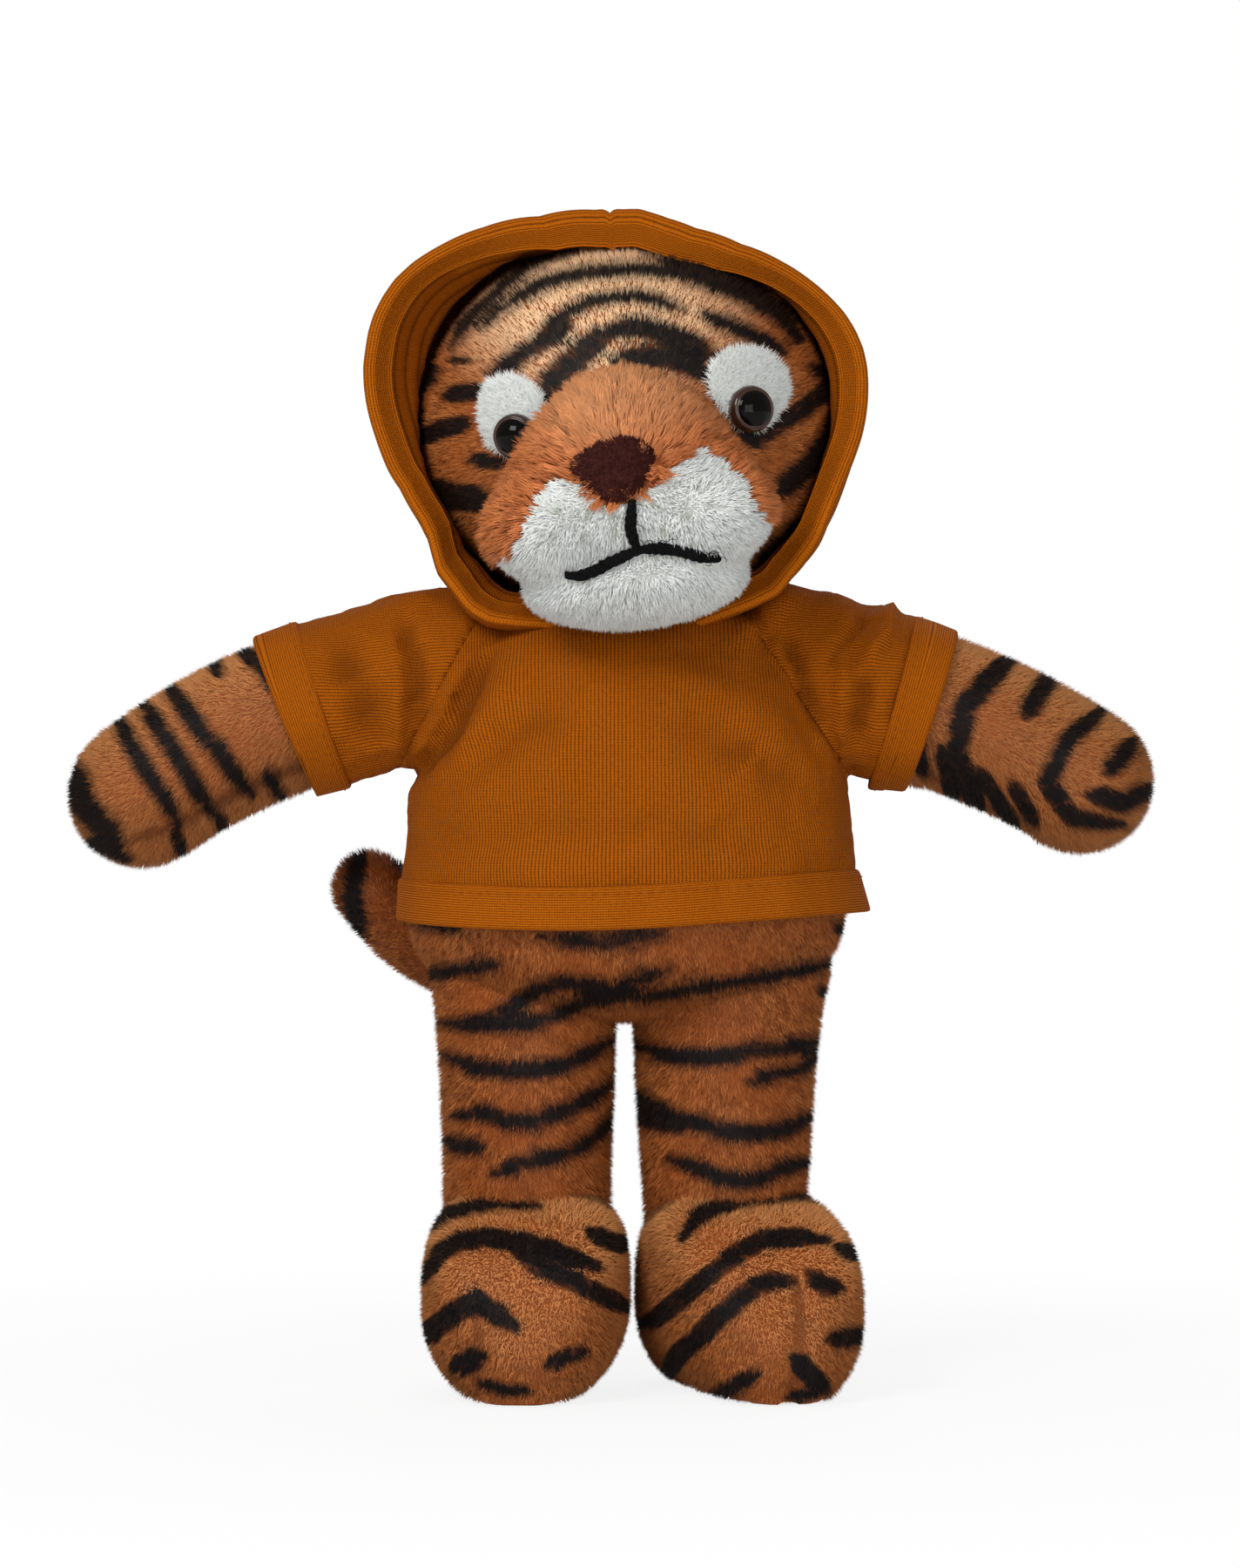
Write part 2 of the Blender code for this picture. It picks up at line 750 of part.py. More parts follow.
def make_leg_sweep():
    """What a leg sweeps in front of the hip and behind it, so that the seat stays out of its way."""
    reach = leg_half_depth + joint_gap
    outline = []
    for turn in (leg_forward_angle, -leg_back_angle):
        way = Vector((0, -math.sin(turn), -math.cos(turn)))
        over = Vector((0, -math.cos(turn), math.sin(turn))) * (1 if turn > 0 else -1)
        edge = [over * reach, over * reach + way * cutter_reach]
        outline += edge if turn < 0 else edge[::-1]
    shape = bmesh.new()
    corners = [shape.verts.new((-torso_half_width * 2, p.y, hip_height + p.z)) for p in outline]
    face = shape.faces.new(corners)
    swept = bmesh.ops.extrude_face_region(shape, geom=[face])
    moved = [item for item in swept["geom"] if isinstance(item, bmesh.types.BMVert)]
    bmesh.ops.translate(shape, vec=(torso_half_width * 4, 0, 0), verts=moved)
    return from_bmesh("leg_sweep", shape)


clear_scene()
toy = new_collection("plush_tiger")
cutters = new_collection("cutters")
root = empty_at("tiger_root", (body_x, body_y, 0))

# Forms, before any is cut
torso, neck = make_torso()
join(torso, neck)
head_frame = empty_at("head_frame", (0, 0, head_height), root)
head_frame.rotation_euler = (0, head_tip, head_turn)
face_forms = {name: in_head_frame(form) for name, form in make_head().items()}
head = face_forms["head"]
hood = make_hood_forms()
arms = {
    name: make_arm(f"arm_{name}", arm["side"], arm["length"], arm["tip_angle"])
    for name, arm in arm_sides.items()
}
legs = {name: make_leg(f"leg_{name}", side) for name, side in (("left", 1), ("right", -1))}
feet = {
    name: make_foot(f"foot_{name}", side, foot_turn[name]) for name, side in (("left", 1), ("right", -1))
}
tail = make_tail()

# One empty on each joint's axis
nape = (0, torso_half_depth * collar_depth_share, shoulder_height - collar_drop + collar_radius)
head_joint = empty_at("head_joint", (0, 0, neck_top), root)
hood_joint = empty_at("hood_joint", nape, root)
tail_joint = empty_at("tail_joint", tail_root, root)
arm_joints = {
    name: empty_at(f"arm_{name}_joint", (arm["side"] * shoulder_x, 0, shoulder_z), root)
    for name, arm in arm_sides.items()
}
leg_joints = {
    name: empty_at(f"leg_{name}_joint", (side * hip_x, 0, hip_height), root)
    for name, side in (("left", 1), ("right", -1))
}

# Neckline, shared by the shirt, the collar and the hood
collar_height = shoulder_height - collar_drop
collar_half_width = neck_radius + collar_reach
collar = tube(
    "collar_band",
    [
        (collar_half_width * math.cos(turn), collar_depth_share * collar_half_width * math.sin(turn), collar_height)
        for turn in np.linspace(0, 2 * math.pi, 28, endpoint=False)
    ],
    collar_radius,
    2,
    cyclic=True,
)
above_collar = half_space("above_collar", (0, 0, collar_height), (0, 0, 1))
below_hood = half_space("below_hood", (0, 0, collar_height + collar_radius + seam_gap), (0, 0, -1))
neck_socket = turned(
    "neck_socket",
    [
        (0, neck_top + joint_gap), (neck_radius + joint_gap, neck_top + joint_gap),
        (neck_radius + joint_gap, shoulder_z), (0, shoulder_z),
    ],
    24,
)
collar_clearance = turned(
    "collar_clearance",
    [
        (0, collar_height + collar_radius + joint_gap),
        (collar_half_width + 2 * collar_radius, collar_height + collar_radius + joint_gap),
        (collar_half_width + 2 * collar_radius, hip_height), (0, hip_height),
    ],
    24,
)

# Torso, with a socket for each limb
show(torso, root, tan_fur, 0.85)
leg_sweep = make_leg_sweep()
sleeve_forms = {}
for name, arm in arm_sides.items():
    sleeve_forms[name] = grown(arms[name], sleeve_gap + cloth_thickness)
    shoulder = Vector((arm["side"] * shoulder_x, 0, shoulder_z))
    arm_low = swung(arms[name], shoulder, arm["side"] * arm_low_angle, "Y")
    shoulder_socket = joint_socket(f"shoulder_socket_{name}", shoulder, arm_radius)
    cut(torso, shoulder_socket, grown(arms[name], joint_gap), arm_low)
    sleeve_forms[f"{name}_low"] = arm_low
leg_sockets = [grown(leg, joint_gap) for leg in legs.values()]
tail_socket = joint_socket("tail_socket", tail_root, tail_root_radius)
tail_back = swung(tail, tail_root, -tail_wag_angle, "Z")
cut(torso, *leg_sockets, leg_sweep, tail_socket, grown(tail, joint_gap), tail_back)

# Head and face
show(head, head_joint, tan_fur, 0.85)
muzzle = show(face_forms["muzzle"], head_joint, orange_pile, 0.9)
chin = show(face_forms["chin"], head_joint, white_pile, 0.9)
cheeks = [show(face_forms[name], head_joint, white_pile, 0.9) for name in ("cheek_left", "cheek_right")]
nose = show(face_forms["nose"], head_joint, brown_velour, 0.8)
mouth_yarn = show(face_forms["mouth_yarn"], head_joint, black_yarn, 0.9)
head_cover = grown(head, seam_gap)
muzzle_cover = grown(muzzle, seam_gap)
chin_cover = grown(chin, seam_gap)
cheek_covers = [grown(cheek, seam_gap) for cheek in cheeks]
yarn_grooves = [grown(mouth_yarn, seam_gap), grown(face_forms["smile"], seam_gap)]
join(mouth_yarn, face_forms["smile"])
cut(head, neck_socket, collar_clearance)
cut(muzzle, head_cover, *yarn_grooves)
cut(chin, head_cover, muzzle_cover, collar_clearance, *yarn_grooves)
for cheek in cheeks:
    cut(cheek, head_cover, muzzle_cover, chin_cover, *yarn_grooves)
cut(nose, muzzle_cover, *cheek_covers, *yarn_grooves)

# Eyes, each through its patch into the head, with a washer behind the skin
for name in ("left", "right"):
    patch = show(face_forms[f"eye_patch_{name}"], head_joint, white_pile, 0.9)
    eye = show(face_forms[f"eye_{name}"], head_joint, eye_plastic, 0.05)
    washer = show(face_forms[f"eye_washer_{name}"], head_joint, washer_plastic, 0.4)
    bore, pocket = face_forms[f"eye_bore_{name}"], face_forms[f"washer_pocket_{name}"]
    cut(head, bore, pocket, solver="MANIFOLD")
    cut(muzzle, bore)
    cut(patch, head_cover, muzzle_cover, bore)
    ear = show(face_forms[f"ear_{name}"], head_joint, tan_fur, 0.85)
    cut(ear, head_cover)

# Shirt: two panels, a folded hem and the sewn neckline
show(collar, root, orange_knit, 0.8)
shirt_inside = grown(torso, shirt_gap)
shirt_outside = grown(torso, shirt_gap + cloth_thickness)
shirt_cover = grown(torso, shirt_gap + cloth_thickness + seam_gap)
collar_cover = grown(collar, seam_gap)
hem_top = hem_bottom + hem_width
below_panels = half_space("below_panels", (0, 0, hem_top + seam_gap), (0, 0, -1))
panels = {}
for name, way in (("shirt_front", 1), ("shirt_back", -1)):
    panel = grown(torso, shirt_gap + cloth_thickness)
    panel.name = name
    show(panel, root, orange_knit, 0.8)
    side_seam = half_space(f"{name}_seam", (0, -way * seam_gap / 2, 0), (0, way, 0))
    cut(panel, shirt_inside, collar_cover, above_collar, below_panels, side_seam, solver="MANIFOLD")
    panels[name] = panel
hem = grown(torso, shirt_gap + cloth_thickness + hem_fold)
hem.name = "hem_band"
show(hem, root, orange_knit, 0.8)
below_hem = half_space("below_hem", (0, 0, hem_bottom), (0, 0, -1))
above_hem = half_space("above_hem", (0, 0, hem_top), (0, 0, 1))
cut(hem, below_hem, above_hem, shirt_inside)
cut(collar, grown(torso, seam_gap), grown(neck, seam_gap))

# Arms, sleeves and cuffs
for name, arm in arm_sides.items():
    limb = show(arms[name], arm_joints[name], tan_fur, 0.85)
    inside = grown(limb, sleeve_gap)
    cuff_form = grown(limb, sleeve_gap + cloth_thickness + cuff_fold)
    spine = arm_spine(arm["side"], arm["length"], arm["tip_angle"])
    way = sleeve_way(spine, arm["sleeve"])
    end = sleeve_end(spine, arm["sleeve"])
    sleeve = sleeve_forms[name]
    sleeve_cover = grown(arms[name], sleeve_gap + cloth_thickness + seam_gap)
    for panel in panels.values():
        cut(panel, sleeve_cover, sleeve_forms[f"{name}_low"], solver="MANIFOLD")
    sleeve.name = f"sleeve_{name}"
    show(sleeve, arm_joints[name], orange_knit, 0.8)
    cut(sleeve, half_space(f"sleeve_{name}_end", end, way), shirt_cover, collar_cover, inside)
    cuff_form.name = f"cuff_{name}"
    show(cuff_form, arm_joints[name], orange_knit, 0.8)
    cuff_start = end + way * seam_gap
    cuff_end = cuff_start + way * cuff_width
    cut(
        cuff_form,
        half_space(f"cuff_{name}_start", cuff_start, -way),
        half_space(f"cuff_{name}_end", cuff_end, way),
        inside,
    )

# Hood: two panels with a seam over the crown, and a folded rim
hood_inside = grown(hood, -cloth_thickness)
rim_back = hood_edge - rim_width
rim_seam = half_space("rim_seam", (0, -rim_back + seam_gap / 2, 0), (0, -1, 0))
neckline = turned(
    "neckline",
    [
        (0, head_height), (collar_half_width, head_height),
        (collar_half_width, shoulder_z), (0, shoulder_z),
    ],
    28,
)
hood_openings = [below_hood, neckline, shirt_cover]
hood_openings += [grown(arms[name], sleeve_gap + cloth_thickness + 2 * seam_gap) for name in arm_sides]
for name, side in (("left", 1), ("right", -1)):
    panel = grown(hood, 0)
    panel.name = f"hood_panel_{name}"
    show(panel, hood_joint, orange_knit, 0.8)
    crown_seam = half_space(f"crown_seam_{name}", (-hood_aside + side * seam_gap / 2, 0, 0), (-side, 0, 0))
    cut(panel, hood_inside, crown_seam, rim_seam, *hood_openings, solver="MANIFOLD")
rim = grown(hood, rim_fold)
rim.name = "hood_rim"
show(rim, hood_joint, orange_knit, 0.8)
rim_front = half_space("rim_front", (0, -hood_edge, 0), (0, -1, 0))
rim_behind = half_space("rim_behind", (0, -rim_back - seam_gap / 2, 0), (0, 1, 0))
cut(rim, hood_inside, rim_front, rim_behind, *hood_openings, solver="MANIFOLD")

# Legs, feet and soles
for name in ("left", "right"):
    leg = show(legs[name], leg_joints[name], tan_fur, 0.85)
    foot = feet[name]
    cut(leg, grown(foot, seam_gap))
    sole = grown(foot, 0)
    sole.name = f"sole_{name}"
    show(sole, leg_joints[name], tan_fur, 0.85)
    cut(
        sole,
        half_space(f"sole_{name}_top", (0, 0, sole_thickness), (0, 0, 1)),
        half_space(f"sole_{name}_rest", (0, 0, 0), (0, 0, -1)),
    )
    show(foot, leg_joints[name], tan_fur, 0.85)
    cut(foot, half_space(f"foot_{name}_flat", (0, 0, sole_thickness + seam_gap), (0, 0, -1)))

# Tail
show(tail, tail_joint, tan_fur, 0.85)
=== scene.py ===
import json
import math

import bpy
import numpy as np
from mathutils import Euler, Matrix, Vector
from mathutils.bvhtree import BVHTree
from mathutils.kdtree import KDTree


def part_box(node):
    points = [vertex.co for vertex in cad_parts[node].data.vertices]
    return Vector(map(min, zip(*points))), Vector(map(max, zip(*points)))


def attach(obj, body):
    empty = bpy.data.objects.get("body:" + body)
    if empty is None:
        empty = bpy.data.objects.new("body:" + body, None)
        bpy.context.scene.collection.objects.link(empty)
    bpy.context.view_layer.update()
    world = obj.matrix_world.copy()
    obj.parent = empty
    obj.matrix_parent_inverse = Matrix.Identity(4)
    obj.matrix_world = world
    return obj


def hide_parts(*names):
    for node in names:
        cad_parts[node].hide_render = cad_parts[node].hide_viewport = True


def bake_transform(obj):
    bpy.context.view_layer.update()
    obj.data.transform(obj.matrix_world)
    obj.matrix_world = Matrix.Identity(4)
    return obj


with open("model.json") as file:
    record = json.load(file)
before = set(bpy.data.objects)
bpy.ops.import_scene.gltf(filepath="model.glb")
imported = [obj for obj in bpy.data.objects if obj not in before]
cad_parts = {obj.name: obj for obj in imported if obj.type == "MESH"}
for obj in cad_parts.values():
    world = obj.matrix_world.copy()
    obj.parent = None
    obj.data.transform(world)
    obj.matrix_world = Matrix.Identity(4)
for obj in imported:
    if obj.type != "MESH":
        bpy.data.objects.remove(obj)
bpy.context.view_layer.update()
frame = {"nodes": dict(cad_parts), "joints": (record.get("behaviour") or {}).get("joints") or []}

jointPlace = {joint["name"]: np.array(joint["pos_m"]) for joint in frame["joints"]}
bodyMiddle = jointPlace["head_turn"] * (1, 1, 0)

# The photograph's view: level, in front of the toy, a pixel is 0.23 mm in the plane y = 0
photo = {
    "pixel": 0.00023,
    "middle": (712, 900),
    "height": 1800,
    "distance": 1.5,
    "aim": (0.0019, 0.1587),
    "sensor": 36,
}


def photoPixels(points):
    # Where the photograph shows these points
    scale = photo["pixel"] * (photo["distance"] + points[:, 1]) / photo["distance"]
    x = photo["middle"][0] + (points[:, 0] - photo["aim"][0]) / scale
    y = photo["middle"][1] - (points[:, 2] - photo["aim"][1]) / scale
    return np.stack([x, y], axis=1)


def pixelRay(x, y):
    # The sight line through a pixel of the photograph
    eye = Vector((photo["aim"][0], -photo["distance"], photo["aim"][1]))
    across = (x - photo["middle"][0]) * photo["pixel"]
    up = (photo["middle"][1] - y) * photo["pixel"]
    return eye, (Vector((photo["aim"][0] + across, 0, photo["aim"][1] + up)) - eye).normalized()


def smoothStep(low, high, value):
    share = np.clip((value - low) / (high - low), 0, 1)
    return share * share * (3 - 2 * share)


def unit(vectors):
    return vectors / np.maximum(np.linalg.norm(vectors, axis=-1, keepdims=True), 1e-12)


def distancesAlong(path):
    # How far along the path each of its points lies
    return np.concatenate([[0], np.cumsum(np.linalg.norm(np.diff(path, axis=0), axis=1))])


def polarOutline(offsets):
    # An outline's turns about its middle, in order, and how far it reaches at each
    turns, reaches = np.arctan2(offsets[:, 1], offsets[:, 0]), np.linalg.norm(offsets, axis=1)
    order = np.argsort(turns)
    return turns[order], reaches[order]


def ringMean(values, shift):
    # The mean of each value of a ring and the two that stand this far beside it
    return (np.roll(values, shift) + values + np.roll(values, -shift)) / 3


def wander(points, scale, seed):
    # Smooth noise between -1 and 1, from waves in many directions
    random = np.random.default_rng(seed)
    total = np.zeros(len(points))
    for _ in range(7):
        way = unit(random.normal(size=3))
        wave = 2 * math.pi / (scale * random.uniform(0.55, 1.6))
        total += np.sin(points @ way * wave + random.uniform(0, 6.28) + 1.4 * np.sin(total))
    return total / 3.4


# Object helpers

def deselectAll():
    bpy.ops.object.select_all(action="DESELECT")


def activate(piece):
    deselectAll()
    piece.select_set(True)
    bpy.context.view_layer.objects.active = piece


def placesOf(piece):
    places = np.empty(len(piece.data.vertices) * 3)
    piece.data.vertices.foreach_get("co", places)
    return places.reshape(-1, 3)


def normalsOf(piece):
    normals = np.empty(len(piece.data.vertices) * 3)
    piece.data.vertices.foreach_get("normal", normals)
    return normals.reshape(-1, 3)


def putPlaces(piece, places):
    piece.data.vertices.foreach_set("co", np.ascontiguousarray(places, np.float32).ravel())
    piece.data.update()


def pointValues(piece, name, values):
    attribute = piece.data.attributes.new(name, "FLOAT", "POINT")
    attribute.data.foreach_set("value", np.ascontiguousarray(values, np.float32))


def applyModifier(piece, kind, **settings):
    activate(piece)
    modifier = piece.modifiers.new(kind.lower(), kind)
    for name, value in settings.items():
        setattr(modifier, name, value)
    bpy.ops.object.modifier_apply(modifier=modifier.name)


def editMesh(piece, *steps):
    # Runs mesh operators on the whole piece
    activate(piece)
    bpy.ops.object.mode_set(mode="EDIT")
    bpy.ops.mesh.select_all(action="SELECT")
    for operator, settings in steps:
        operator(**settings)
    bpy.ops.object.mode_set(mode="OBJECT")


outwardStep = (bpy.ops.mesh.normals_make_consistent, {"inside": False})


def mergeStep(distance=0.00001):
    return bpy.ops.mesh.remove_doubles, {"threshold": distance}


def bisect(piece, place, normal):
    # Cuts a sheet at a plane and takes away the side that the normal points to
    plane = {"plane_co": tuple(place), "plane_no": tuple(normal), "clear_outer": True}
    editMesh(piece, (bpy.ops.mesh.bisect, plane))


def putMap(piece, name, layout):
    uv = piece.data.uv_layers.new(name=name)
    uv.uv.foreach_set("vector", layout.astype(np.float32).ravel())


def shadeSmooth(piece):
    activate(piece)
    bpy.ops.object.shade_smooth()


def wear(piece, *worn, second=None):
    # Gives the piece its materials, the second one on the faces that are marked
    piece.data.materials.clear()
    for material in worn:
        piece.data.materials.append(material)
    if second is not None:
        piece.data.polygons.foreach_set("material_index", np.array(second).astype(np.int32))


def deleteVertices(piece, chosen):
    activate(piece)
    bpy.ops.object.mode_set(mode="EDIT")
    bpy.ops.mesh.select_mode(type="VERT")
    bpy.ops.mesh.select_all(action="DESELECT")
    bpy.ops.object.mode_set(mode="OBJECT")
    piece.data.vertices.foreach_set("select", chosen)
    bpy.ops.object.mode_set(mode="EDIT")
    bpy.ops.mesh.delete(type="VERT")
    bpy.ops.object.mode_set(mode="OBJECT")


def smoothThrough(points, before, after, count):
    # Evenly spaced samples of a smooth curve through the points
    knots = np.array([before, *points, after], float)
    samples = []
    for p0, p1, p2, p3 in zip(knots, knots[1:], knots[2:], knots[3:]):
        t1 = math.sqrt(np.linalg.norm(p1 - p0))
        t2 = t1 + math.sqrt(np.linalg.norm(p2 - p1))
        t3 = t2 + math.sqrt(np.linalg.norm(p3 - p2))
        t = np.linspace(t1, t2, 24, endpoint=False)[:, None]
        a1 = ((t1 - t) * p0 + t * p1) / t1
        a2 = ((t2 - t) * p1 + (t - t1) * p2) / (t2 - t1)
        a3 = ((t3 - t) * p2 + (t - t2) * p3) / (t3 - t2)
        b1 = ((t2 - t) * a1 + t * a2) / t2
        b2 = ((t3 - t) * a2 + (t - t1) * a3) / (t3 - t1)
        samples.append(((t2 - t) * b1 + (t - t1) * b2) / (t2 - t1))
    samples = np.concatenate([*samples, knots[-2:-1]])
    along = distancesAlong(samples)
    wanted = np.linspace(0, along[-1], count)
    return np.stack([np.interp(wanted, along, column) for column in samples.T], axis=1)


def newBall(name, sides, rings):
    # A ball of radius 1 and the places of its points
    deselectAll()
    bpy.ops.mesh.primitive_uv_sphere_add(segments=sides, ring_count=rings, radius=1)
    ball = bpy.context.object
    ball.name = name
    return ball, placesOf(ball)


def ringsAndTurns(ball, rings):
    # The ring of a ball that each point is on, counted from the top, and its turn
    ring = np.rint(np.arccos(np.clip(ball[:, 2], -1, 1)) / math.pi * rings).astype(int)
    return ring, np.arctan2(ball[:, 1], ball[:, 0])


def finishForm(piece, places):
    putPlaces(piece, places)
    editMesh(piece, outwardStep)
    shadeSmooth(piece)
    return piece


def joined(name, pieces):
    deselectAll()
    for piece in pieces:
        piece.select_set(True)
    bpy.context.view_layer.objects.active = pieces[0]
    bpy.ops.object.join()
    whole = bpy.context.object
    whole.name = name
    return whole


def link(name, data):
    piece = bpy.data.objects.new(name, data)
    bpy.context.scene.collection.objects.link(piece)
    return piece


def plump(name, sections, across, rings=48, sides=48, crown=2):
    # A ball whose rings are drawn out along the sections: middle, half width, half depth
    piece, ball = newBall(name, sides, rings)
    rows = [(*middle, width, depth) for middle, width, depth in sections]
    mirror = np.array([1, 1, 1, -1, -1])
    samples = smoothThrough(rows, np.array(rows[1]) * mirror, np.array(rows[-2]) * mirror, rings + 1)
    middles = samples[:, :3]
    fromTop, turn = ringsAndTurns(ball, rings)
    ring = rings - fromTop
    tangents = unit(np.gradient(middles, axis=0))
    beside = unit(np.array(across) - tangents * (tangents @ np.array(across))[:, None])
    upward = np.cross(tangents, beside)
    power = np.where(turn > 0, 2 / crown, 1)
    wide = samples[ring, 3] * np.sign(np.cos(turn)) * np.abs(np.cos(turn)) ** power
    deep = samples[ring, 4] * np.sign(np.sin(turn)) * np.abs(np.sin(turn)) ** power
    places = middles[ring] + beside[ring] * wide[:, None] + upward[ring] * deep[:, None]
    poles = (ring == 0) | (ring == rings)
    places[poles] = middles[ring[poles]]
    return finishForm(piece, places)


def upright(shares, bottom, top, halfWidth, halfDepth):
    return [
        (np.array((0, 0, bottom + share * (top - bottom))), width * halfWidth, depth * halfDepth)
        for share, width, depth in shares
    ]


def moved(piece, offset):
    putPlaces(piece, placesOf(piece) + offset)
    return piece


def grow(piece, amount):
    putPlaces(piece, placesOf(piece) + normalsOf(piece) * amount)
    return piece


def twin(piece, name):
    copy = piece.copy()
    copy.data = piece.data.copy()
    copy.name = name
    bpy.context.scene.collection.objects.link(copy)
    return copy


def remesh(piece, voxel, rounds):
    # Draws the skin anew in even faces and smooths the valleys in it
    applyModifier(piece, "REMESH", mode="VOXEL", voxel_size=voxel, adaptivity=0)
    applyModifier(piece, "SMOOTH", factor=0.5, iterations=rounds)
    shadeSmooth(piece)
    return piece


def roundEnds(place, way, radius, backward=False):
    # Sections that close the end of a round limb, from its pole to its full width or back
    turns = reversed(quarterTurns) if backward else quarterTurns
    return [(place + way * radius * math.cos(turn), *[radius * math.sin(turn)] * 2) for turn in turns]


def surfaceTree(piece):
    return BVHTree.FromPolygons(
        [tuple(place) for place in placesOf(piece)], [tuple(face.vertices) for face in piece.data.polygons]
    )


# Forms: the skins of the stuffed parts, under the CAD solids' surface by the depth of their pile
pileDepth, muzzlePileDepth = 0.0012, 0.0034


def torsoSections(grown=0):
    size = {
        "bottom": 0.0960 - grown, "top": 0.2090 + grown, "halfWidth": 0.0585 + grown,
        "halfDepth": 0.0465 + grown,
    }
    shares = [
        (0.00, 0.00, 0.00), (0.06, 0.68, 0.72), (0.15, 0.93, 0.93), (0.27, 1.00, 1.00),
        (0.45, 0.97, 1.00), (0.62, 0.93, 0.96), (0.75, 0.85, 0.88), (0.86, 0.71, 0.76),
        (0.94, 0.50, 0.58), (1.00, 0.00, 0.00),
    ]
    return upright(shares, **size)


armSizes = {
    "left": {"side": 1, "length": 0.0995, "start": 8.0, "tip": 31.5, "sleeve": 0.0250},
    "right": {"side": -1, "length": 0.1090, "start": 4.0, "tip": 36.5, "sleeve": 0.0345},
}
armRadius = 0.0205
armRadiusShares = [1, 1, 1, 1, 0.995, 0.99, 0.98, 0.965, 0.95]
quarterTurns = [math.radians(step) for step in (0, 20, 45, 70)]


def armSpine(name, count=9):
    arm = armSizes[name]
    root = jointPlace[f"arm_{name}_raise"]
    step = (arm["length"] - armRadius) / (count - 1)
    points = [root]
    for index in range(count - 1):
        angle = math.radians(arm["start"] + (index + 0.5) / (count - 1) * (arm["tip"] - arm["start"]))
        points.append(points[-1] + step * np.array((arm["side"] * math.cos(angle), 0, -math.sin(angle))))
    return points


def armSections(name, grown=0):
    spine = armSpine(name)
    side = armSizes[name]["side"]
    root, paw = armRadius + grown, armRadiusShares[-1] * armRadius + grown
    sections = roundEnds(spine[0], np.array((-side, 0, 0)), root)
    for point, share in zip(spine, armRadiusShares):
        sections.append((point, share * armRadius + grown, share * armRadius + grown))
    return sections + roundEnds(spine[-1], unit(spine[-1] - spine[-2]), paw, backward=True)


legWidths = {1: (1.04, 1.02, 0.965, 0.905, 0.90), -1: (1.0, 0.99, 0.955, 0.94, 0.94)}
hip = {"x": 0.0262, "z": 0.1080, "halfWidth": 0.0234, "halfDepth": 0.0260, "ankle": 0.0300}


def legSections(side):
    x = side * hip["x"]
    sections = [
        (np.array((x, 0, hip["z"] + hip["halfDepth"] * math.cos(turn))), hip["halfWidth"] * math.sin(turn),
         hip["halfDepth"] * math.sin(turn))
        for turn in quarterTurns
    ]
    for share, width, depth in zip((0, 0.3, 0.6, 0.85, 1), legWidths[side], (1, 0.98, 0.95, 0.92, 0.90)):
        middle = np.array((x, 0, hip["z"] - share * (hip["z"] - hip["ankle"])))
        sections.append((middle, width * hip["halfWidth"], depth * hip["halfDepth"]))
    for drop, width in ((0.3, 0.80), (0.5, 0.5), (0.58, 0)):
        middle = np.array((x, 0, hip["ankle"] - drop * hip["halfWidth"]))
        sections.append((middle, width * hip["halfWidth"], width * hip["halfDepth"]))
    return sections


def flareAtHip(leg, side):
    # The outer side of the thigh swells toward the seat
    points = placesOf(leg)
    outer = smoothStep(0.004, 0.022, side * (points[:, 0] - bodyMiddle[0]) - hip["x"])
    heights = [0.080, 0.090, 0.099, 0.1035, 0.108, 0.113]
    swell = np.interp(points[:, 2], heights, [0, 0.0006, 0.0012, 0.0021, 0.0036, 0.0046])
    points[:, 0] += side * (1.0 if side > 0 else 0.7) * swell * outer
    putPlaces(leg, points)
    return leg


footSize = {
    "x": 0.0262, "halfWidth": 0.0265, "halfHeight": 0.0276, "heel": 0.0270, "toe": 0.0590, "sink": 0.0030,
}
footSides = {"left": {"turn": math.radians(17), "out": 0.0}, "right": {"turn": math.radians(3), "out": 0.0013}}
footShares = [
    (0.00, 0.00, 0.00), (0.04, 0.42, 0.42), (0.14, 0.72, 0.76), (0.32, 0.93, 0.97),
    (0.50, 1.00, 1.00), (0.70, 0.99, 0.90), (0.86, 0.82, 0.74), (0.96, 0.45, 0.42),
    (1.00, 0.00, 0.00),
]


def makeFoot(name, side):
    length = footSize["heel"] + footSize["toe"]
    sections = [
        (np.array((0, footSize["heel"] - share * length, 0)), width * footSize["halfWidth"],
         height * footSize["halfHeight"])
        for share, width, height in footShares
    ]
    foot = grow(plump(f"foot_{name}_skin", sections, (1, 0, 0), rings=60, sides=64, crown=3.6), -pileDepth)
    places = placesOf(foot)
    lifts = [max(height, footShares[1][2]) for _, _, height in footShares]
    shares = [share for share, _, _ in footShares]
    places[:, 2] += np.interp((footSize["heel"] - places[:, 1]) / length, shares, lifts) * footSize["halfHeight"]
    places[:, 2] = np.maximum(places[:, 2] - footSize["sink"], 0)
    turn = side * footSides[name]["turn"]
    x, y = places[:, 0].copy(), places[:, 1].copy()
    places[:, 0] = x * math.cos(turn) - y * math.sin(turn) + side * footSize["x"] + footSides[name]["out"]
    places[:, 1] = x * math.sin(turn) + y * math.cos(turn)
    putPlaces(foot, places + bodyMiddle)
    return foot


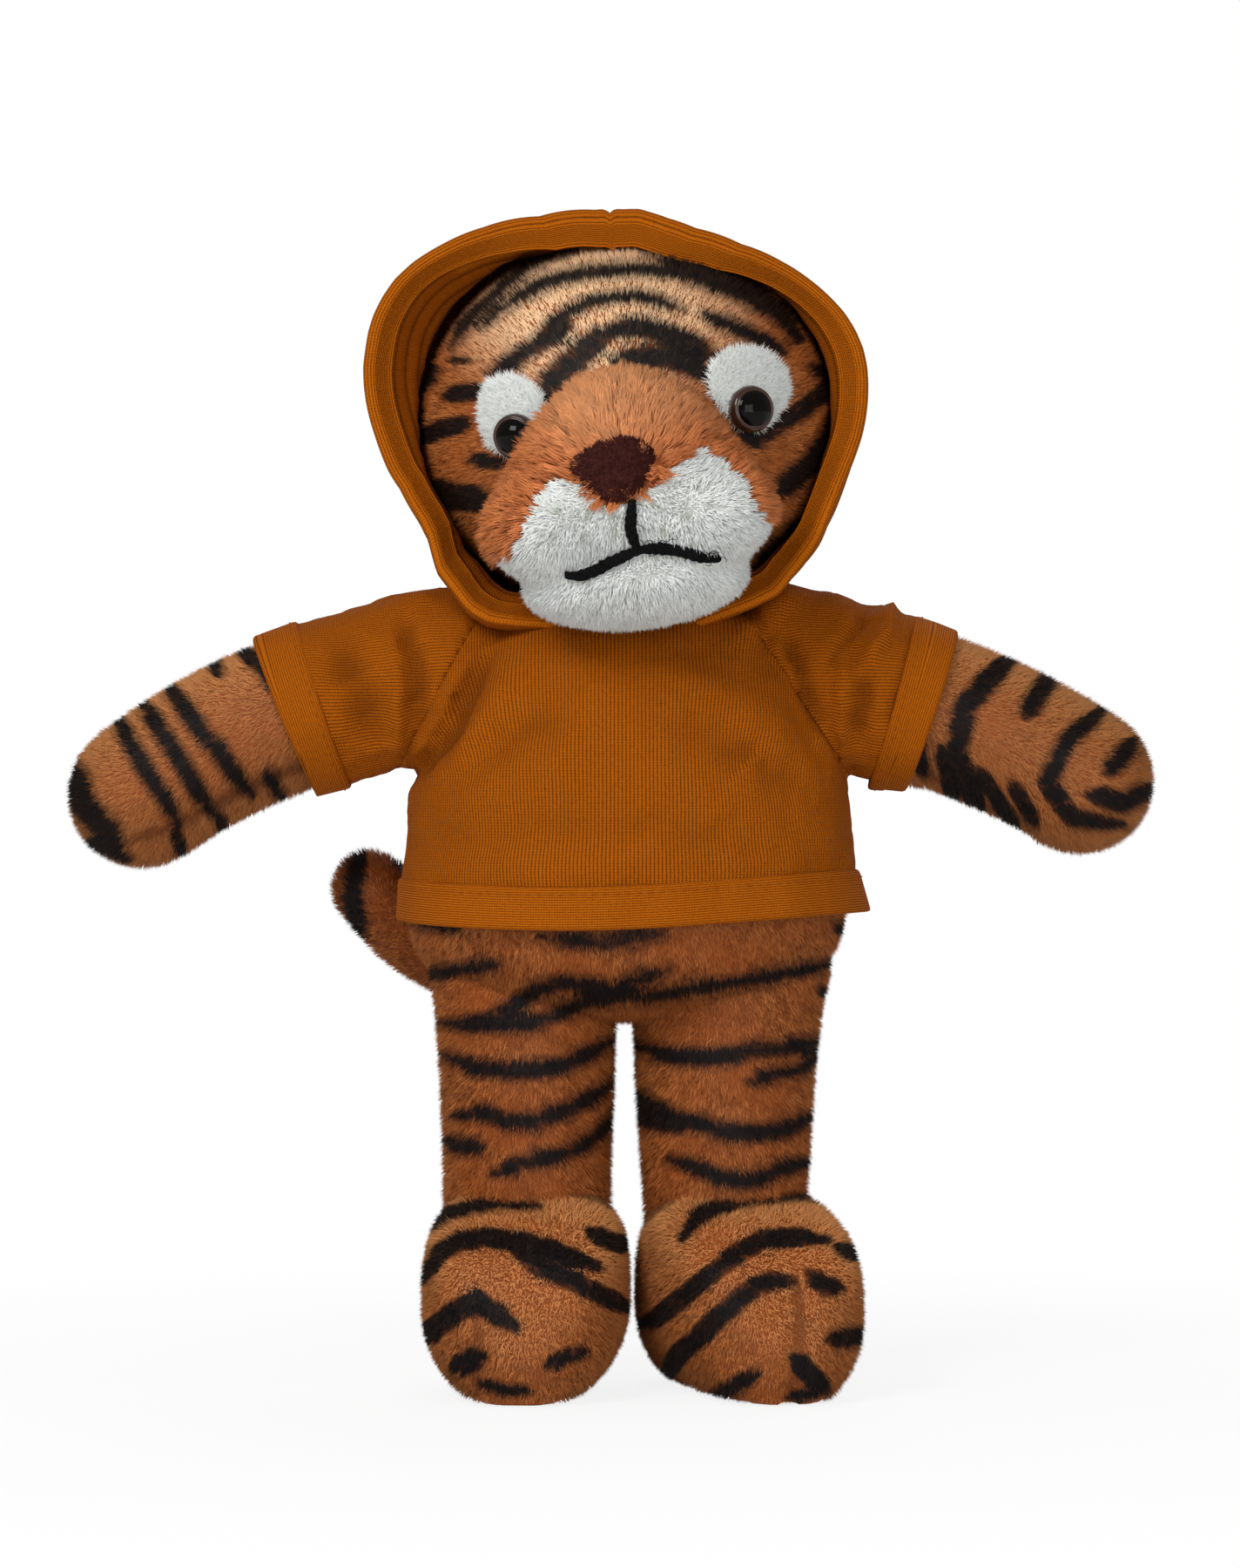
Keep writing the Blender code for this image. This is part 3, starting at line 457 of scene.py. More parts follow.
def tailSections():
    route = np.array([
        (0, 0.0440, 0.1090), (-0.0150, 0.0540, 0.1065), (-0.0370, 0.0570, 0.1090),
        (-0.0560, 0.0510, 0.1180), (-0.0695, 0.0430, 0.1300),
    ])
    radii = [0.0120, 0.0125, 0.0125, 0.0125, 0.0107]
    return [
        *roundEnds(route[0], unit(route[0] - route[1]), radii[0]),
        *[(point, radius, radius) for point, radius in zip(route, radii)],
        *roundEnds(route[-1], unit(route[-1] - route[-2]), radii[-1], backward=True),
    ]


headTurn = Euler((0, math.radians(-5.5), math.radians(-2.0))).to_matrix()
headMiddle = bodyMiddle + np.array((0, 0, 0.2543))


def inHeadFrame(piece):
    putPlaces(piece, placesOf(piece) @ np.array(headTurn).T + headMiddle)
    return piece


def makeHeadSkin():
    shares = [
        (0.00, 0.00, 0.00), (0.05, 0.45, 0.45), (0.15, 0.74, 0.73), (0.30, 0.93, 0.92),
        (0.47, 1.00, 1.00), (0.65, 0.955, 0.96), (0.82, 0.77, 0.78), (0.94, 0.48, 0.48),
        (1.00, 0.00, 0.00),
    ]
    skin = plump("head_skin", upright(shares, -0.05, 0.05, 0.0555, 0.0500), (1, 0, 0), rings=64, sides=72)
    return inHeadFrame(grow(skin, -pileDepth))


def makeMuzzleSkin():
    # The muzzle, both cheeks and the chin, sewn together into one soft form
    shares = [
        (0.00, 0.00, 0.00), (0.08, 0.70, 0.60), (0.20, 0.93, 0.86), (0.33, 1.00, 0.97),
        (0.50, 0.89, 1.00), (0.65, 0.74, 0.93), (0.78, 0.60, 0.72), (0.89, 0.42, 0.48),
        (0.97, 0.22, 0.25), (1.00, 0.00, 0.00),
    ]
    form = plump("muzzle_form", upright(shares, -0.047, 0.012, 0.0378, 0.0280), (1, 0, 0))
    balls = [moved(form, (0, -0.05, 0))]
    for middle, sizes in (
        ((0.01935, -0.0593, -0.0290), (0.0190, 0.0190, 0.0155)),
        ((-0.01935, -0.0593, -0.0290), (0.0190, 0.0190, 0.0155)),
        ((0, -0.05, -0.0440), (0.0310, 0.0230, 0.0135)),
    ):
        cheek, ball = newBall("cheek_form", 40, 24)
        putPlaces(cheek, ball * sizes + middle)
        balls.append(cheek)
    return inHeadFrame(grow(remesh(joined("muzzle_skin", balls), 0.0012, 8), -muzzlePileDepth))


# Stripes, as strokes in the photograph's pixels: full width, then the points of the stroke

stripes = {
    "head": [
        (17, [(551, 376), (570, 358), (598, 339), (629, 322), (669, 313), (708, 309), (748, 308), (780, 313),
              (819, 325), (855, 339), (882, 356), (902, 374), (912, 392)]),
        (15, [(515, 400), (538, 366), (558, 347), (578, 327), (606, 305), (633, 291), (660, 286)]),
        (24, [(740, 284), (787, 292), (819, 303), (849, 318), (876, 341), (900, 364), (920, 388)]),
        (16, [(612, 392), (629, 374), (653, 358), (677, 347), (701, 341), (728, 339), (756, 345), (786, 356)]),
        (21, [(562, 430), (582, 418), (606, 402), (629, 390), (656, 374)]),
        (30, [(629, 460), (637, 434), (657, 415), (677, 396), (704, 380)]),
        (25, [(690, 384), (728, 374), (756, 381), (788, 391), (820, 406)]),
        (26, [(706, 414), (740, 408), (770, 412), (798, 420), (816, 434)]),
        (18, [(809, 360), (835, 372), (867, 386), (902, 403)]),
        (23, [(476, 446), (489, 430), (501, 424)]),
        (8, [(514, 414), (542, 414)]),
        (19, [(510, 454), (556, 448)]),
        (20, [(479, 506), (503, 493), (540, 484)]),
        (17, [(540, 528), (580, 531)]),
        (31, [(489, 562), (519, 571), (560, 573)]),
        (11, [(517, 617), (532, 633)]),
        (15, [(540, 644), (566, 663), (594, 686)]),
        (20, [(866, 508), (898, 485), (930, 465), (957, 438)]),
        (15, [(845, 492), (877, 513)]),
        (28, [(892, 570), (914, 548), (938, 528), (957, 497), (963, 472)]),
        (15, [(872, 641), (898, 619), (925, 598)]),
        (16, [(930, 420), (950, 432), (968, 452)]),
    ],
    "armRight": [
        (30, [(80, 875), (95, 925), (135, 968)]),
        (14, [(98, 968), (150, 988)]),
        (17, [(128, 815), (165, 880), (205, 948)]),
        (18, [(158, 800), (205, 870), (243, 935)]),
        (19, [(188, 782), (240, 850), (290, 915)]),
        (13, [(202, 950), (208, 985)]),
        (12, [(248, 930), (262, 965)]),
        (13, [(306, 885), (325, 920)]),
        (15, [(240, 752), (252, 774)]),
        (15, [(268, 738), (300, 765), (335, 815)]),
        (16, [(345, 790), (362, 860)]),
    ],
    "armLeft": [
        (23, [(1168, 750), (1135, 780), (1108, 812), (1098, 868), (1127, 938)]),
        (21, [(1210, 770), (1178, 822)]),
        (14, [(1052, 832), (1060, 892)]),
        (17, [(1080, 858), (1098, 925)]),
        (15, [(1124, 884), (1168, 955)]),
        (14, [(1162, 898), (1190, 950)]),
        (19, [(1270, 812), (1225, 850), (1203, 900), (1232, 940), (1292, 948)]),
        (20, [(1305, 850), (1272, 888)]),
        (22, [(1252, 912), (1290, 922), (1328, 905)]),
        (13, [(1050, 730), (1040, 770)]),
    ],
    "legRight": [
        (15, [(484, 1122), (533, 1112), (574, 1107)]),
        (17, [(503, 1174), (544, 1177), (581, 1160), (618, 1136), (650, 1128), (680, 1133), (708, 1138)]),
        (16, [(530, 1176), (592, 1176), (625, 1171), (655, 1158), (680, 1149), (712, 1150)]),
        (19, [(507, 1210), (544, 1225), (581, 1232), (618, 1228), (655, 1221), (684, 1206), (707, 1193)]),
        (18, [(520, 1282), (551, 1278), (581, 1287), (618, 1287), (647, 1276), (677, 1262), (708, 1240)]),
        (17, [(508, 1311), (533, 1317), (556, 1317)]),
        (17, [(565, 1349), (596, 1335), (636, 1328), (669, 1317), (692, 1299), (710, 1272)]),
    ],
    "legLeft": [
        (15, [(716, 1149), (765, 1142), (802, 1135), (839, 1129), (876, 1123), (913, 1116), (962, 1105)]),
        (19, [(726, 1200), (758, 1210), (788, 1215), (825, 1215), (862, 1206), (898, 1204), (946, 1194)]),
        (14, [(861, 1241), (891, 1234), (921, 1228), (944, 1206)]),
        (19, [(734, 1256), (765, 1280), (802, 1291), (839, 1299), (876, 1301), (913, 1292), (940, 1280)]),
        (28, [(728, 1262), (742, 1282), (790, 1290)]),
        (17, [(765, 1330), (795, 1339), (821, 1350), (854, 1358), (876, 1352), (906, 1339), (942, 1334)]),
        (9, [(942, 1132), (950, 1146)]),
    ],
    "footRight": [
        (15, [(490, 1411), (514, 1391), (544, 1383), (581, 1378), (620, 1383)]),
        (19, [(483, 1472), (503, 1439), (529, 1424), (559, 1420), (592, 1424), (625, 1431), (655, 1443),
              (690, 1455)]),
        (19, [(592, 1436), (625, 1457), (662, 1472), (699, 1491), (727, 1504)]),
        (23, [(474, 1546), (500, 1524), (525, 1505), (548, 1494), (570, 1509), (592, 1523)]),
        (24, [(520, 1574), (553, 1556)]),
        (15, [(628, 1569), (651, 1557), (674, 1552)]),
        (11, [(550, 1588), (581, 1596), (610, 1598)]),
        (19, [(645, 1360), (677, 1363), (699, 1372), (732, 1385)]),
        (13, [(690, 1334), (710, 1343), (732, 1362)]),
        (18, [(677, 1412), (699, 1424), (728, 1432)]),
    ],
    "footLeft": [
        (17, [(783, 1421), (802, 1395), (825, 1383), (858, 1374), (895, 1369), (932, 1367), (962, 1377)]),
        (17, [(724, 1406), (747, 1383), (775, 1364)]),
        (19, [(722, 1524), (751, 1516), (777, 1494), (813, 1465), (847, 1439), (876, 1422), (913, 1419),
              (950, 1423)]),
        (20, [(761, 1590), (777, 1557), (802, 1535), (828, 1509), (858, 1483), (884, 1470), (912, 1470)]),
        (18, [(929, 1460), (946, 1476), (967, 1479)]),
        (14, [(960, 1430), (990, 1443)]),
        (20, [(953, 1538), (998, 1533)]),
        (21, [(911, 1558), (928, 1576), (950, 1598)]),
        (16, [(811, 1611), (839, 1594), (869, 1578)]),
        (11, [(905, 1604), (938, 1600)]),
    ],
    "tail": [
        (22, [(412, 972), (404, 1030), (412, 1085)]),
        (14, [(456, 984), (474, 1000)]),
        (16, [(520, 960), (500, 1090)]),
        (18, [(575, 950), (560, 1110)]),
        (15, [(640, 950), (622, 1110)]),
    ],
    "torso": [
        (16, [(618, 1076), (655, 1079), (692, 1081), (729, 1077), (764, 1073)]),
        (13, [(476, 1058), (530, 1064)]),
        (15, [(484, 1122), (533, 1112), (574, 1107)]),
        (17, [(581, 1160), (618, 1136), (650, 1128), (680, 1133), (706, 1138), (729, 1125), (772, 1113)]),
        (16, [(592, 1176), (625, 1171), (655, 1158), (680, 1149), (712, 1150)]),
        (15, [(706, 1149), (765, 1142), (802, 1135), (839, 1129), (876, 1123), (913, 1116), (962, 1105)]),
        (15, [(960, 1062), (990, 1078)]),
    ],
}

# What the muzzle shows, in the photograph's pixels
whiteMuzzle = [
    (740, 562), (778, 537), (801, 516), (824, 535), (849, 555), (863, 582), (880, 600), (900, 612), (890, 660),
    (850, 720), (780, 750), (690, 745), (600, 700), (540, 660), (562, 641), (596, 629), (608, 602), (621, 574),
    (645, 553), (664, 552), (684, 572), (706, 582), (728, 578),
]
whiskerDots = [
    (640, 588), (673, 593), (703, 593), (634, 615), (671, 617), (707, 614),
    (800, 558), (753, 581), (790, 593), (814, 579), (763, 611),
]


def insideOutline(pixels, outline):
    # Whether each pixel is inside the outline
    inside = np.zeros(len(pixels), bool)
    x, y = pixels[:, 0], pixels[:, 1]
    for (x1, y1), (x2, y2) in zip(outline, outline[1:] + outline[:1]):
        if y1 == y2:
            continue
        inside ^= ((y1 > y) != (y2 > y)) & (x < (x2 - x1) * (y - y1) / (y2 - y1) + x1)
    return inside


def alongRoute(pixels, route):
    # For each leg of a route, how far the pixels are from it and which share of the route they lie at
    route = np.array(route, float)
    steps = np.linalg.norm(np.diff(route, axis=0), axis=1)
    along = np.concatenate([[0], np.cumsum(steps)])
    for start, end, before, length in zip(route, route[1:], along, steps):
        share = np.clip(((pixels - start) @ (end - start)) / length**2, 0, 1)
        distance = np.linalg.norm(pixels - start - share[:, None] * (end - start), axis=1)
        yield distance, (before + share * length) / along[-1]


def strokeCover(pixels, strokes, wider=4.5):
    # 1 inside a stroke and 0 outside it, with pointed ends
    best = np.full(len(pixels), -100.0)
    for width, route in strokes:
        for distance, place in alongRoute(pixels, route):
            half = (width * 1.04 + wider) / 2 * np.minimum(1, 0.5 + 3.4 * np.minimum(place, 1 - place))
            best = np.maximum(best, half - distance)
    return smoothStep(-1.0, 1.0, best)


def wandering(points, pixels, size, scale, seeds):
    # The pixels, shifted in both directions by smooth noise
    for axis, seed in enumerate(seeds):
        pixels[:, axis] += size * wander(points, scale, seed)
    return pixels


def stripeCover(points, normals, strokes):
    # The strokes run straight through to the back, and wander off their course there
    pixels = photoPixels(points)
    behind = 26 * smoothStep(0.0, 0.9, normals[:, 1])
    wandering(points, pixels, 1.2, 0.007, (3, 4))
    wandering(points, pixels, 0.5, 0.0013, (10, 11))
    wandering(points, pixels, behind, 0.03, (23, 24))
    return strokeCover(pixels, strokes, 2.0 if strokes is stripes["head"] else 4.5)


# Fibres: thousands of fine spikes on a skin, each a sliver of three sides

def trianglesOf(piece):
    # Blender's own order of a ball's faces changes from run to run, so they are put in order here
    corners = []
    for face in piece.data.polygons:
        loop = list(face.vertices)
        first = loop.index(min(loop))
        loop = loop[first:] + loop[:first]
        corners += [(loop[0], *pair) for pair in zip(loop[1:], loop[2:])]
    return np.array(sorted(corners))


def skinSamples(skin, count, seed):
    # Evenly scattered roots on a skin, with the skin's smooth normals there
    random = np.random.default_rng(seed)
    corners = trianglesOf(skin)
    places, normals = placesOf(skin), normalsOf(skin)
    a, b, c = places[corners[:, 0]], places[corners[:, 1]], places[corners[:, 2]]
    area = np.linalg.norm(np.cross(b - a, c - a), axis=1) / 2
    ends = np.cumsum(area)
    chosen = np.searchsorted(ends, (np.arange(count) + random.random(count)) / count * ends[-1])
    chosen = np.minimum(chosen, len(corners) - 1)
    u, v = random.random(count), random.random(count)
    u, v = np.where(u + v > 1, 1 - u, u), np.where(u + v > 1, 1 - v, v)
    weights = np.stack([1 - u - v, u, v], axis=1)[:, :, None]
    order = random.permutation(count)
    roots = (places[corners[chosen]] * weights).sum(axis=1)[order]
    ways = unit((normals[corners[chosen]] * weights).sum(axis=1))[order]
    return roots, ways


def frontSamples(skin, count, seed, most):
    # The roots on the side that faces the front
    roots, ways = skinSamples(skin, count, seed)
    front = ways[:, 1] < most
    return roots[front], ways[front]


def clumpTips(roots, tips, every, strength):
    # Draws the tips of neighbouring fibres together into tufts
    leaders = np.arange(0, len(roots), every)
    tree = KDTree(len(leaders))
    for number, leader in enumerate(leaders):
        tree.insert(roots[leader], number)
    tree.balance()
    nearest = leaders[[tree.find(root)[1] for root in roots]]
    return tips + (tips[nearest] - tips) * np.asarray(strength).reshape(-1, 1), nearest


def fibreFaces(ringCount):
    # The faces of one fibre: rings of three points from its root up, and its tip
    faces = []
    for ring in range(ringCount - 1):
        for side in range(3):
            a, b = 3 * ring + side, 3 * ring + (side + 1) % 3
            faces += [(a, b, b + 3), (a, b + 3, a + 3)]
    top = 3 * (ringCount - 1)
    return np.array(faces + [(top + side, top + (side + 1) % 3, top + 3) for side in range(3)])


def trianglePiece(name, places, corner):
    mesh = bpy.data.meshes.new(name)
    mesh.vertices.add(len(places))
    mesh.vertices.foreach_set("co", places.astype(np.float32).ravel())
    mesh.loops.add(len(corner))
    mesh.loops.foreach_set("vertex_index", corner)
    mesh.polygons.add(len(corner) // 3)
    mesh.polygons.foreach_set("loop_start", np.arange(0, len(corner), 3, dtype=np.int32))
    mesh.update(calc_edges=True)
    piece = link(name, mesh)
    shadeSmooth(piece)
    return piece


def mapFibres(pile, count, along, corner):
    # Each fibre has a cell of its own on the map
    cells = math.ceil(math.sqrt(count))
    cell = np.stack([np.arange(count) % cells, np.arange(count) // cells], axis=1)[:, None, :]
    spread = np.array([(0.1 + 0.4 * (index % 3), 0.1 + 0.8 * share) for index, share in enumerate(along)])
    spread[-1] = (0.5, 0.95)
    putMap(pile, "OFBake", ((cell + spread[None]) / cells).reshape(-1, 2)[corner])


# No fibre goes below this height
floorClear = 0.0003


def makePile(name, roots, ways, comb, look, material, body, values, seed):
    # Fibres on the roots: values are the point attributes of each fibre, or functions of its place
    comb = comb(roots) if callable(comb) else np.broadcast_to(comb, roots.shape)
    random = np.random.default_rng(seed)
    count = len(roots)
    lean = comb - ways * (comb * ways).sum(axis=1, keepdims=True)
    wild = random.normal(size=(count, 3))
    way = unit(ways + look["lean"] * lean + look["wild"] * wild)
    length = look["length"] * (0.72 + 0.5 * random.random(count))
    tips = roots + way * length[:, None]
    tips, nearest = clumpTips(roots, tips, look["every"], look["clump"] * (0.5 + 0.5 * random.random(count)))
    beside = unit(np.cross(way, unit(random.normal(size=(count, 3)))))
    other = np.cross(way, beside)
    half = look["width"] / 2 * (0.75 + 0.5 * random.random(count))[:, None]
    turns = [2 * math.pi * step / 3 for step in range(3)]
    corners = [beside * math.cos(turn) + other * math.sin(turn) for turn in turns]
    sunk = roots - ways * look["sink"]
    rings, shares = [np.stack([sunk + corner * half for corner in corners], axis=1)], [0.0]
    if look["bent"]:
        middle = roots + (tips - roots) * 0.5 + ways * (length * look["bent"])[:, None]
        rings.append(np.stack([middle + corner * half * 0.85 for corner in corners], axis=1))
        shares.append(0.55)
    along = np.array([*np.repeat(shares, 3), 1.0])
    places = np.concatenate([*rings, tips[:, None, :]], axis=1).reshape(-1, 3)
    places[:, 2] = np.maximum(places[:, 2], floorClear)
    every = (np.arange(count) * len(along))[:, None, None] + fibreFaces(len(rings))[None]
    corner = every.reshape(-1).astype(np.int32)
    pile = trianglePiece(name, places, corner)

    pointValues(pile, "along", np.tile(along, count))
    own = random.random(count) - 0.5
    pointValues(pile, "tone", np.repeat(np.clip(0.5 + 0.6 * own + 0.8 * own[nearest], 0, 1), len(along)))
    for key, value in values.items():
        if callable(value):
            ends = [value(roots, ways), value(tips, ways)]
            value = np.stack([ends[0] + (ends[1] - ends[0]) * share for share in along], axis=1).ravel()
        else:
            value = np.repeat(value, len(along))
        pointValues(pile, key, value)
    mapFibres(pile, count, along, corner)
    # Light falls on the fibres much as it falls on the skin under them
    outward = np.concatenate([np.stack(corners * len(rings), axis=1), way[:, None, :]], axis=1)
    shading = unit(ways[:, None, :] * look["soft"] + outward).reshape(-1, 3)
    pile.data.normals_split_custom_set_from_vertices(shading.astype(np.float32))
    wear(pile, materials[material])
    if body:
        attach(pile, body)
    print(name, count, "fibres,", len(corner) // 3, "faces")
    return pile


# Materials

def shaderGroup(name, inputs, outputs):
    tree = bpy.data.node_groups.new(name, "ShaderNodeTree")
    for label, kind, value in inputs:
        socket = tree.interface.new_socket(label, in_out="INPUT", socket_type=kind)
        socket.default_value = value
    for label, kind in outputs:
        tree.interface.new_socket(label, in_out="OUTPUT", socket_type=kind)
    return tree, tree.nodes.new("NodeGroupInput").outputs, tree.nodes.new("NodeGroupOutput").inputs


def feed(tree, node, links):
    # Sets the inputs of a node to values or links them to the outputs of others
    for socket, source in links:
        if isinstance(source, (int, float, tuple)):
            node.inputs[socket].default_value = source
        else:
            tree.links.new(source, node.inputs[socket])


def addNode(tree, kind, links=(), **settings):
    node = tree.nodes.new(kind)
    for key, value in settings.items():
        setattr(node, key, value)
    feed(tree, node, links)
    return node


def mixColours(tree, share, first, second):
    return addNode(tree, "ShaderNodeMix", [(0, share), (6, first), (7, second)], data_type="RGBA").outputs[2]


def maths(tree, operation, first, second=0.0, third=0.5, clamp=False):
    inputs = [(0, first), (1, second), (2, third)]
    return addNode(tree, "ShaderNodeMath", inputs, operation=operation, use_clamp=clamp).outputs[0]


def valueOf(tree, name):
    return addNode(tree, "ShaderNodeAttribute", attribute_name=name).outputs["Fac"]


def objectPlace(tree):
    return addNode(tree, "ShaderNodeTexCoord").outputs["Object"]


def noiseOf(tree, place, scale, detail):
    links = [("Vector", place), ("Scale", scale), ("Detail", detail)]
    return addNode(tree, "ShaderNodeTexNoise", links).outputs["Fac"]


def makePlushGroup():
    # Fibre colour: root darkened as painted shade, lighter tip, redder patches, paler tone and painted highlight
    colour = "NodeSocketColor"
    labels = ("Root", "Tip", "Dark", "Redder", "Pale")
    seamColour = (0.09, 0.022, 0.007, 1)
    given = [(label, colour, (0.3, 0.1, 0.03, 1)) for label in labels]
    tree, given, result = shaderGroup("plushColour", [*given, ("Seam", colour, seamColour)], [("Color", colour)])
    broad = noiseOf(tree, objectPlace(tree), 55.0, 3.0)
    along = maths(tree, "POWER", valueOf(tree, "along"), 0.8)
    tone = valueOf(tree, "tone")
    lift = maths(tree, "MULTIPLY_ADD", tone, 0.80, -0.42)
    pile = mixColours(tree, maths(tree, "ADD", along, lift, clamp=True), given["Root"], given["Tip"])
    patch = maths(tree, "MULTIPLY_ADD", broad, 2.6, -0.95, clamp=True)
    pile = mixColours(tree, maths(tree, "MULTIPLY", patch, 0.62), pile, given["Redder"])
    for label, share in (("Pale", 0.9), ("Seam", 0.8)):
        pile = mixColours(tree, maths(tree, "MULTIPLY", valueOf(tree, label.lower()), share), pile, given[label])
    dark = mixColours(tree, maths(tree, "MULTIPLY", tone, 0.035), given["Dark"], pile)
    tree.links.new(mixColours(tree, valueOf(tree, "stripe"), pile, dark), result["Color"])
    return tree


def makeKnitGroup():
    # Jersey: upright wales of small loops, read from the piece's own map in metres
    number = "NodeSocketFloat"
    tree, given, result = shaderGroup(
        "jerseyKnit", [("Wales", number, waleDensity), ("Courses", number, courseDensity)],
        [("Height", number), ("Hollow", number)],
    )
    at = addNode(tree, "ShaderNodeUVMap", uv_map="cloth").outputs["UV"]
    split = addNode(tree, "ShaderNodeSeparateXYZ", [("Vector", at)]).outputs
    jitter = noiseOf(tree, at, 900.0, 2.0)
    across = maths(tree, "MULTIPLY", split["X"], given["Wales"])
    rib = maths(tree, "ABSOLUTE", maths(tree, "SINE", maths(tree, "MULTIPLY", across, math.pi)))
    slope = maths(tree, "MULTIPLY", rib, 0.55)
    up = maths(tree, "ADD", maths(tree, "MULTIPLY", split["Y"], given["Courses"]), slope)
    loop = maths(tree, "ABSOLUTE", maths(tree, "SINE", maths(tree, "MULTIPLY", up, math.pi)))
    height = maths(
        tree, "MULTIPLY", maths(tree, "POWER", rib, 0.6), maths(tree, "MULTIPLY_ADD", loop, 0.45, 0.55)
    )
    height = maths(tree, "ADD", height, maths(tree, "MULTIPLY", jitter, 0.35))
    tree.links.new(height, result["Height"])
    # Painted shade: the cloth's colour darkens in the hollows between the loops
    tree.links.new(maths(tree, "SUBTRACT", 1.0, height, clamp=True), result["Hollow"])
    return tree


def newMaterial(name):
    # A material with its node tree and its main shader
    material = bpy.data.materials.new(name)
    material.use_nodes = True
    return material, material.node_tree, material.node_tree.nodes["Principled BSDF"]


def surfaceLook(roughness, specular, sheen=None):
    looks = [("Roughness", roughness), ("Specular IOR Level", specular)]
    if sheen:
        weight, sheenRoughness, tint = sheen
        looks += [("Sheen Weight", weight), ("Sheen Roughness", sheenRoughness), ("Sheen Tint", (*tint, 1))]
    return looks


def plushMaterial(
    name, root, tip, redder, pale=(0.98, 0.43, 0.145), dark=(0.004, 0.0035, 0.004), sheen=0.02, specular=0.15,
    roughness=0.6,
):
    material, tree, shader = newMaterial(name)
    colours = {"Root": root, "Tip": tip, "Redder": redder, "Pale": pale, "Dark": dark}
    group = addNode(tree, "ShaderNodeGroup", node_tree=plushGroup)
    feed(tree, group, [(label, (*value, 1)) for label, value in colours.items()])
    feed(tree, shader, [("Base Color", group.outputs["Color"])])
    feed(tree, shader, surfaceLook(roughness, specular, (sheen, 0.5, tip)))
    return material


def knitMaterial(name, bright, dark):
    material, tree, shader = newMaterial(name)
    knit = addNode(tree, "ShaderNodeGroup", node_tree=knitGroup)
    feed(tree, knit, [("Wales", waleDensity), ("Courses", courseDensity)])
    colour = (*bright, 1)
    # The colour darkens toward the dark one as painted shade in the knit's hollows and fold valleys, and in broad
    # heather patches
    for share in (
        maths(tree, "MULTIPLY", knit.outputs["Hollow"], 1.25, clamp=True),
        maths(tree, "MULTIPLY", noiseOf(tree, objectPlace(tree), 38.0, 4.0), 0.30),
        # Painted shade in the valleys of the folds
        maths(tree, "MULTIPLY", valueOf(tree, "crease"), 0.55),
    ):
        colour = mixColours(tree, share, colour, (*dark, 1))
    bump = addNode(
        tree, "ShaderNodeBump", [("Height", knit.outputs["Height"]), ("Strength", 0.6), ("Distance", 0.0005)]
    )
    feed(tree, shader, [("Base Color", colour), ("Normal", bump.outputs["Normal"])])
    feed(tree, shader, surfaceLook(0.92, 0.08, (0.02, 0.6, (0.9, 0.30, 0.02))))
    return material


def plainMaterial(name, colour, roughness, noiseScale=2500.0, bumpHeight=0.0, specular=0.5):
    material, tree, shader = newMaterial(name)
    grain = noiseOf(tree, objectPlace(tree), noiseScale, 3.0)
    darker = tuple(0.6 * value for value in colour)
    mixed = mixColours(tree, grain, (*colour, 1), (*darker, 1))
    feed(tree, shader, [("Base Color", mixed), *surfaceLook(roughness, specular)])
    if bumpHeight:
        bump = addNode(tree, "ShaderNodeBump", [("Height", grain), ("Distance", bumpHeight)])
        tree.links.new(bump.outputs["Normal"], shader.inputs["Normal"])
    return material


# Wales and courses of the knit in each metre of cloth
waleDensity, courseDensity = 1100.0, 1350.0
plushGroup, knitGroup = makePlushGroup(), makeKnitGroup()
# Plush colours: root (darkened as painted shade), tip, redder, then the colour of the paler tone and painted
# highlight
materials = {
    "tan": plushMaterial("tan_fur", (0.13, 0.026, 0.0045), (0.62, 0.205, 0.052), (0.36, 0.082, 0.012)),
    "crown": plushMaterial(
        "crown_fur", (0.15, 0.036, 0.008), (0.64, 0.215, 0.056), (0.38, 0.090, 0.014), pale=(1.0, 0.68, 0.40),
    ),
    "orange": plushMaterial(
        "orange_pile", (0.13, 0.024, 0.005), (0.72, 0.245, 0.080), (0.46, 0.115, 0.026), pale=(1.0, 0.60, 0.30),
    ),
    "white": plushMaterial(
        "white_pile", (0.50, 0.52, 0.49), (0.83, 0.84, 0.81), (0.73, 0.755, 0.725), dark=(0.18, 0.26, 0.15),
    ),
    "velour": plushMaterial(
        "brown_velour", (0.010, 0.0022, 0.0020), (0.110, 0.030, 0.024), (0.030, 0.006, 0.005), sheen=0.0,
        specular=0.06, roughness=0.8,
    ),
    "knit": knitMaterial("orange_knit", (0.405, 0.096, 0.0012), (0.054, 0.011, 0.0002)),
    # The same knit made brighter for the cuffs, hem and hood rim: painted light on these bands
    "rib": knitMaterial("orange_rib", (0.465, 0.112, 0.0015), (0.075, 0.015, 0.0003)),
    "knitInside": knitMaterial("orange_knit_wrong_side", (0.34, 0.074, 0.0010), (0.110, 0.021, 0.0003)),
    "yarn": plainMaterial("black_yarn", (0.006, 0.0055, 0.006), 0.95, bumpHeight=0.0004, specular=0.08),
    "thread": plainMaterial("orange_thread", (0.30, 0.070, 0.002), 0.8, bumpHeight=0.0001, specular=0.1),
    "lens": plainMaterial("eye_plastic", (0.004, 0.003, 0.0025), 0.05, noiseScale=300.0, specular=0.10),
    "eyeRing": plainMaterial("eye_ring", (0.038, 0.014, 0.006), 0.16, noiseScale=300.0),
    "washer": plainMaterial("washer_plastic", (0.62, 0.62, 0.60), 0.4, bumpHeight=0.00005),
}


# Skins

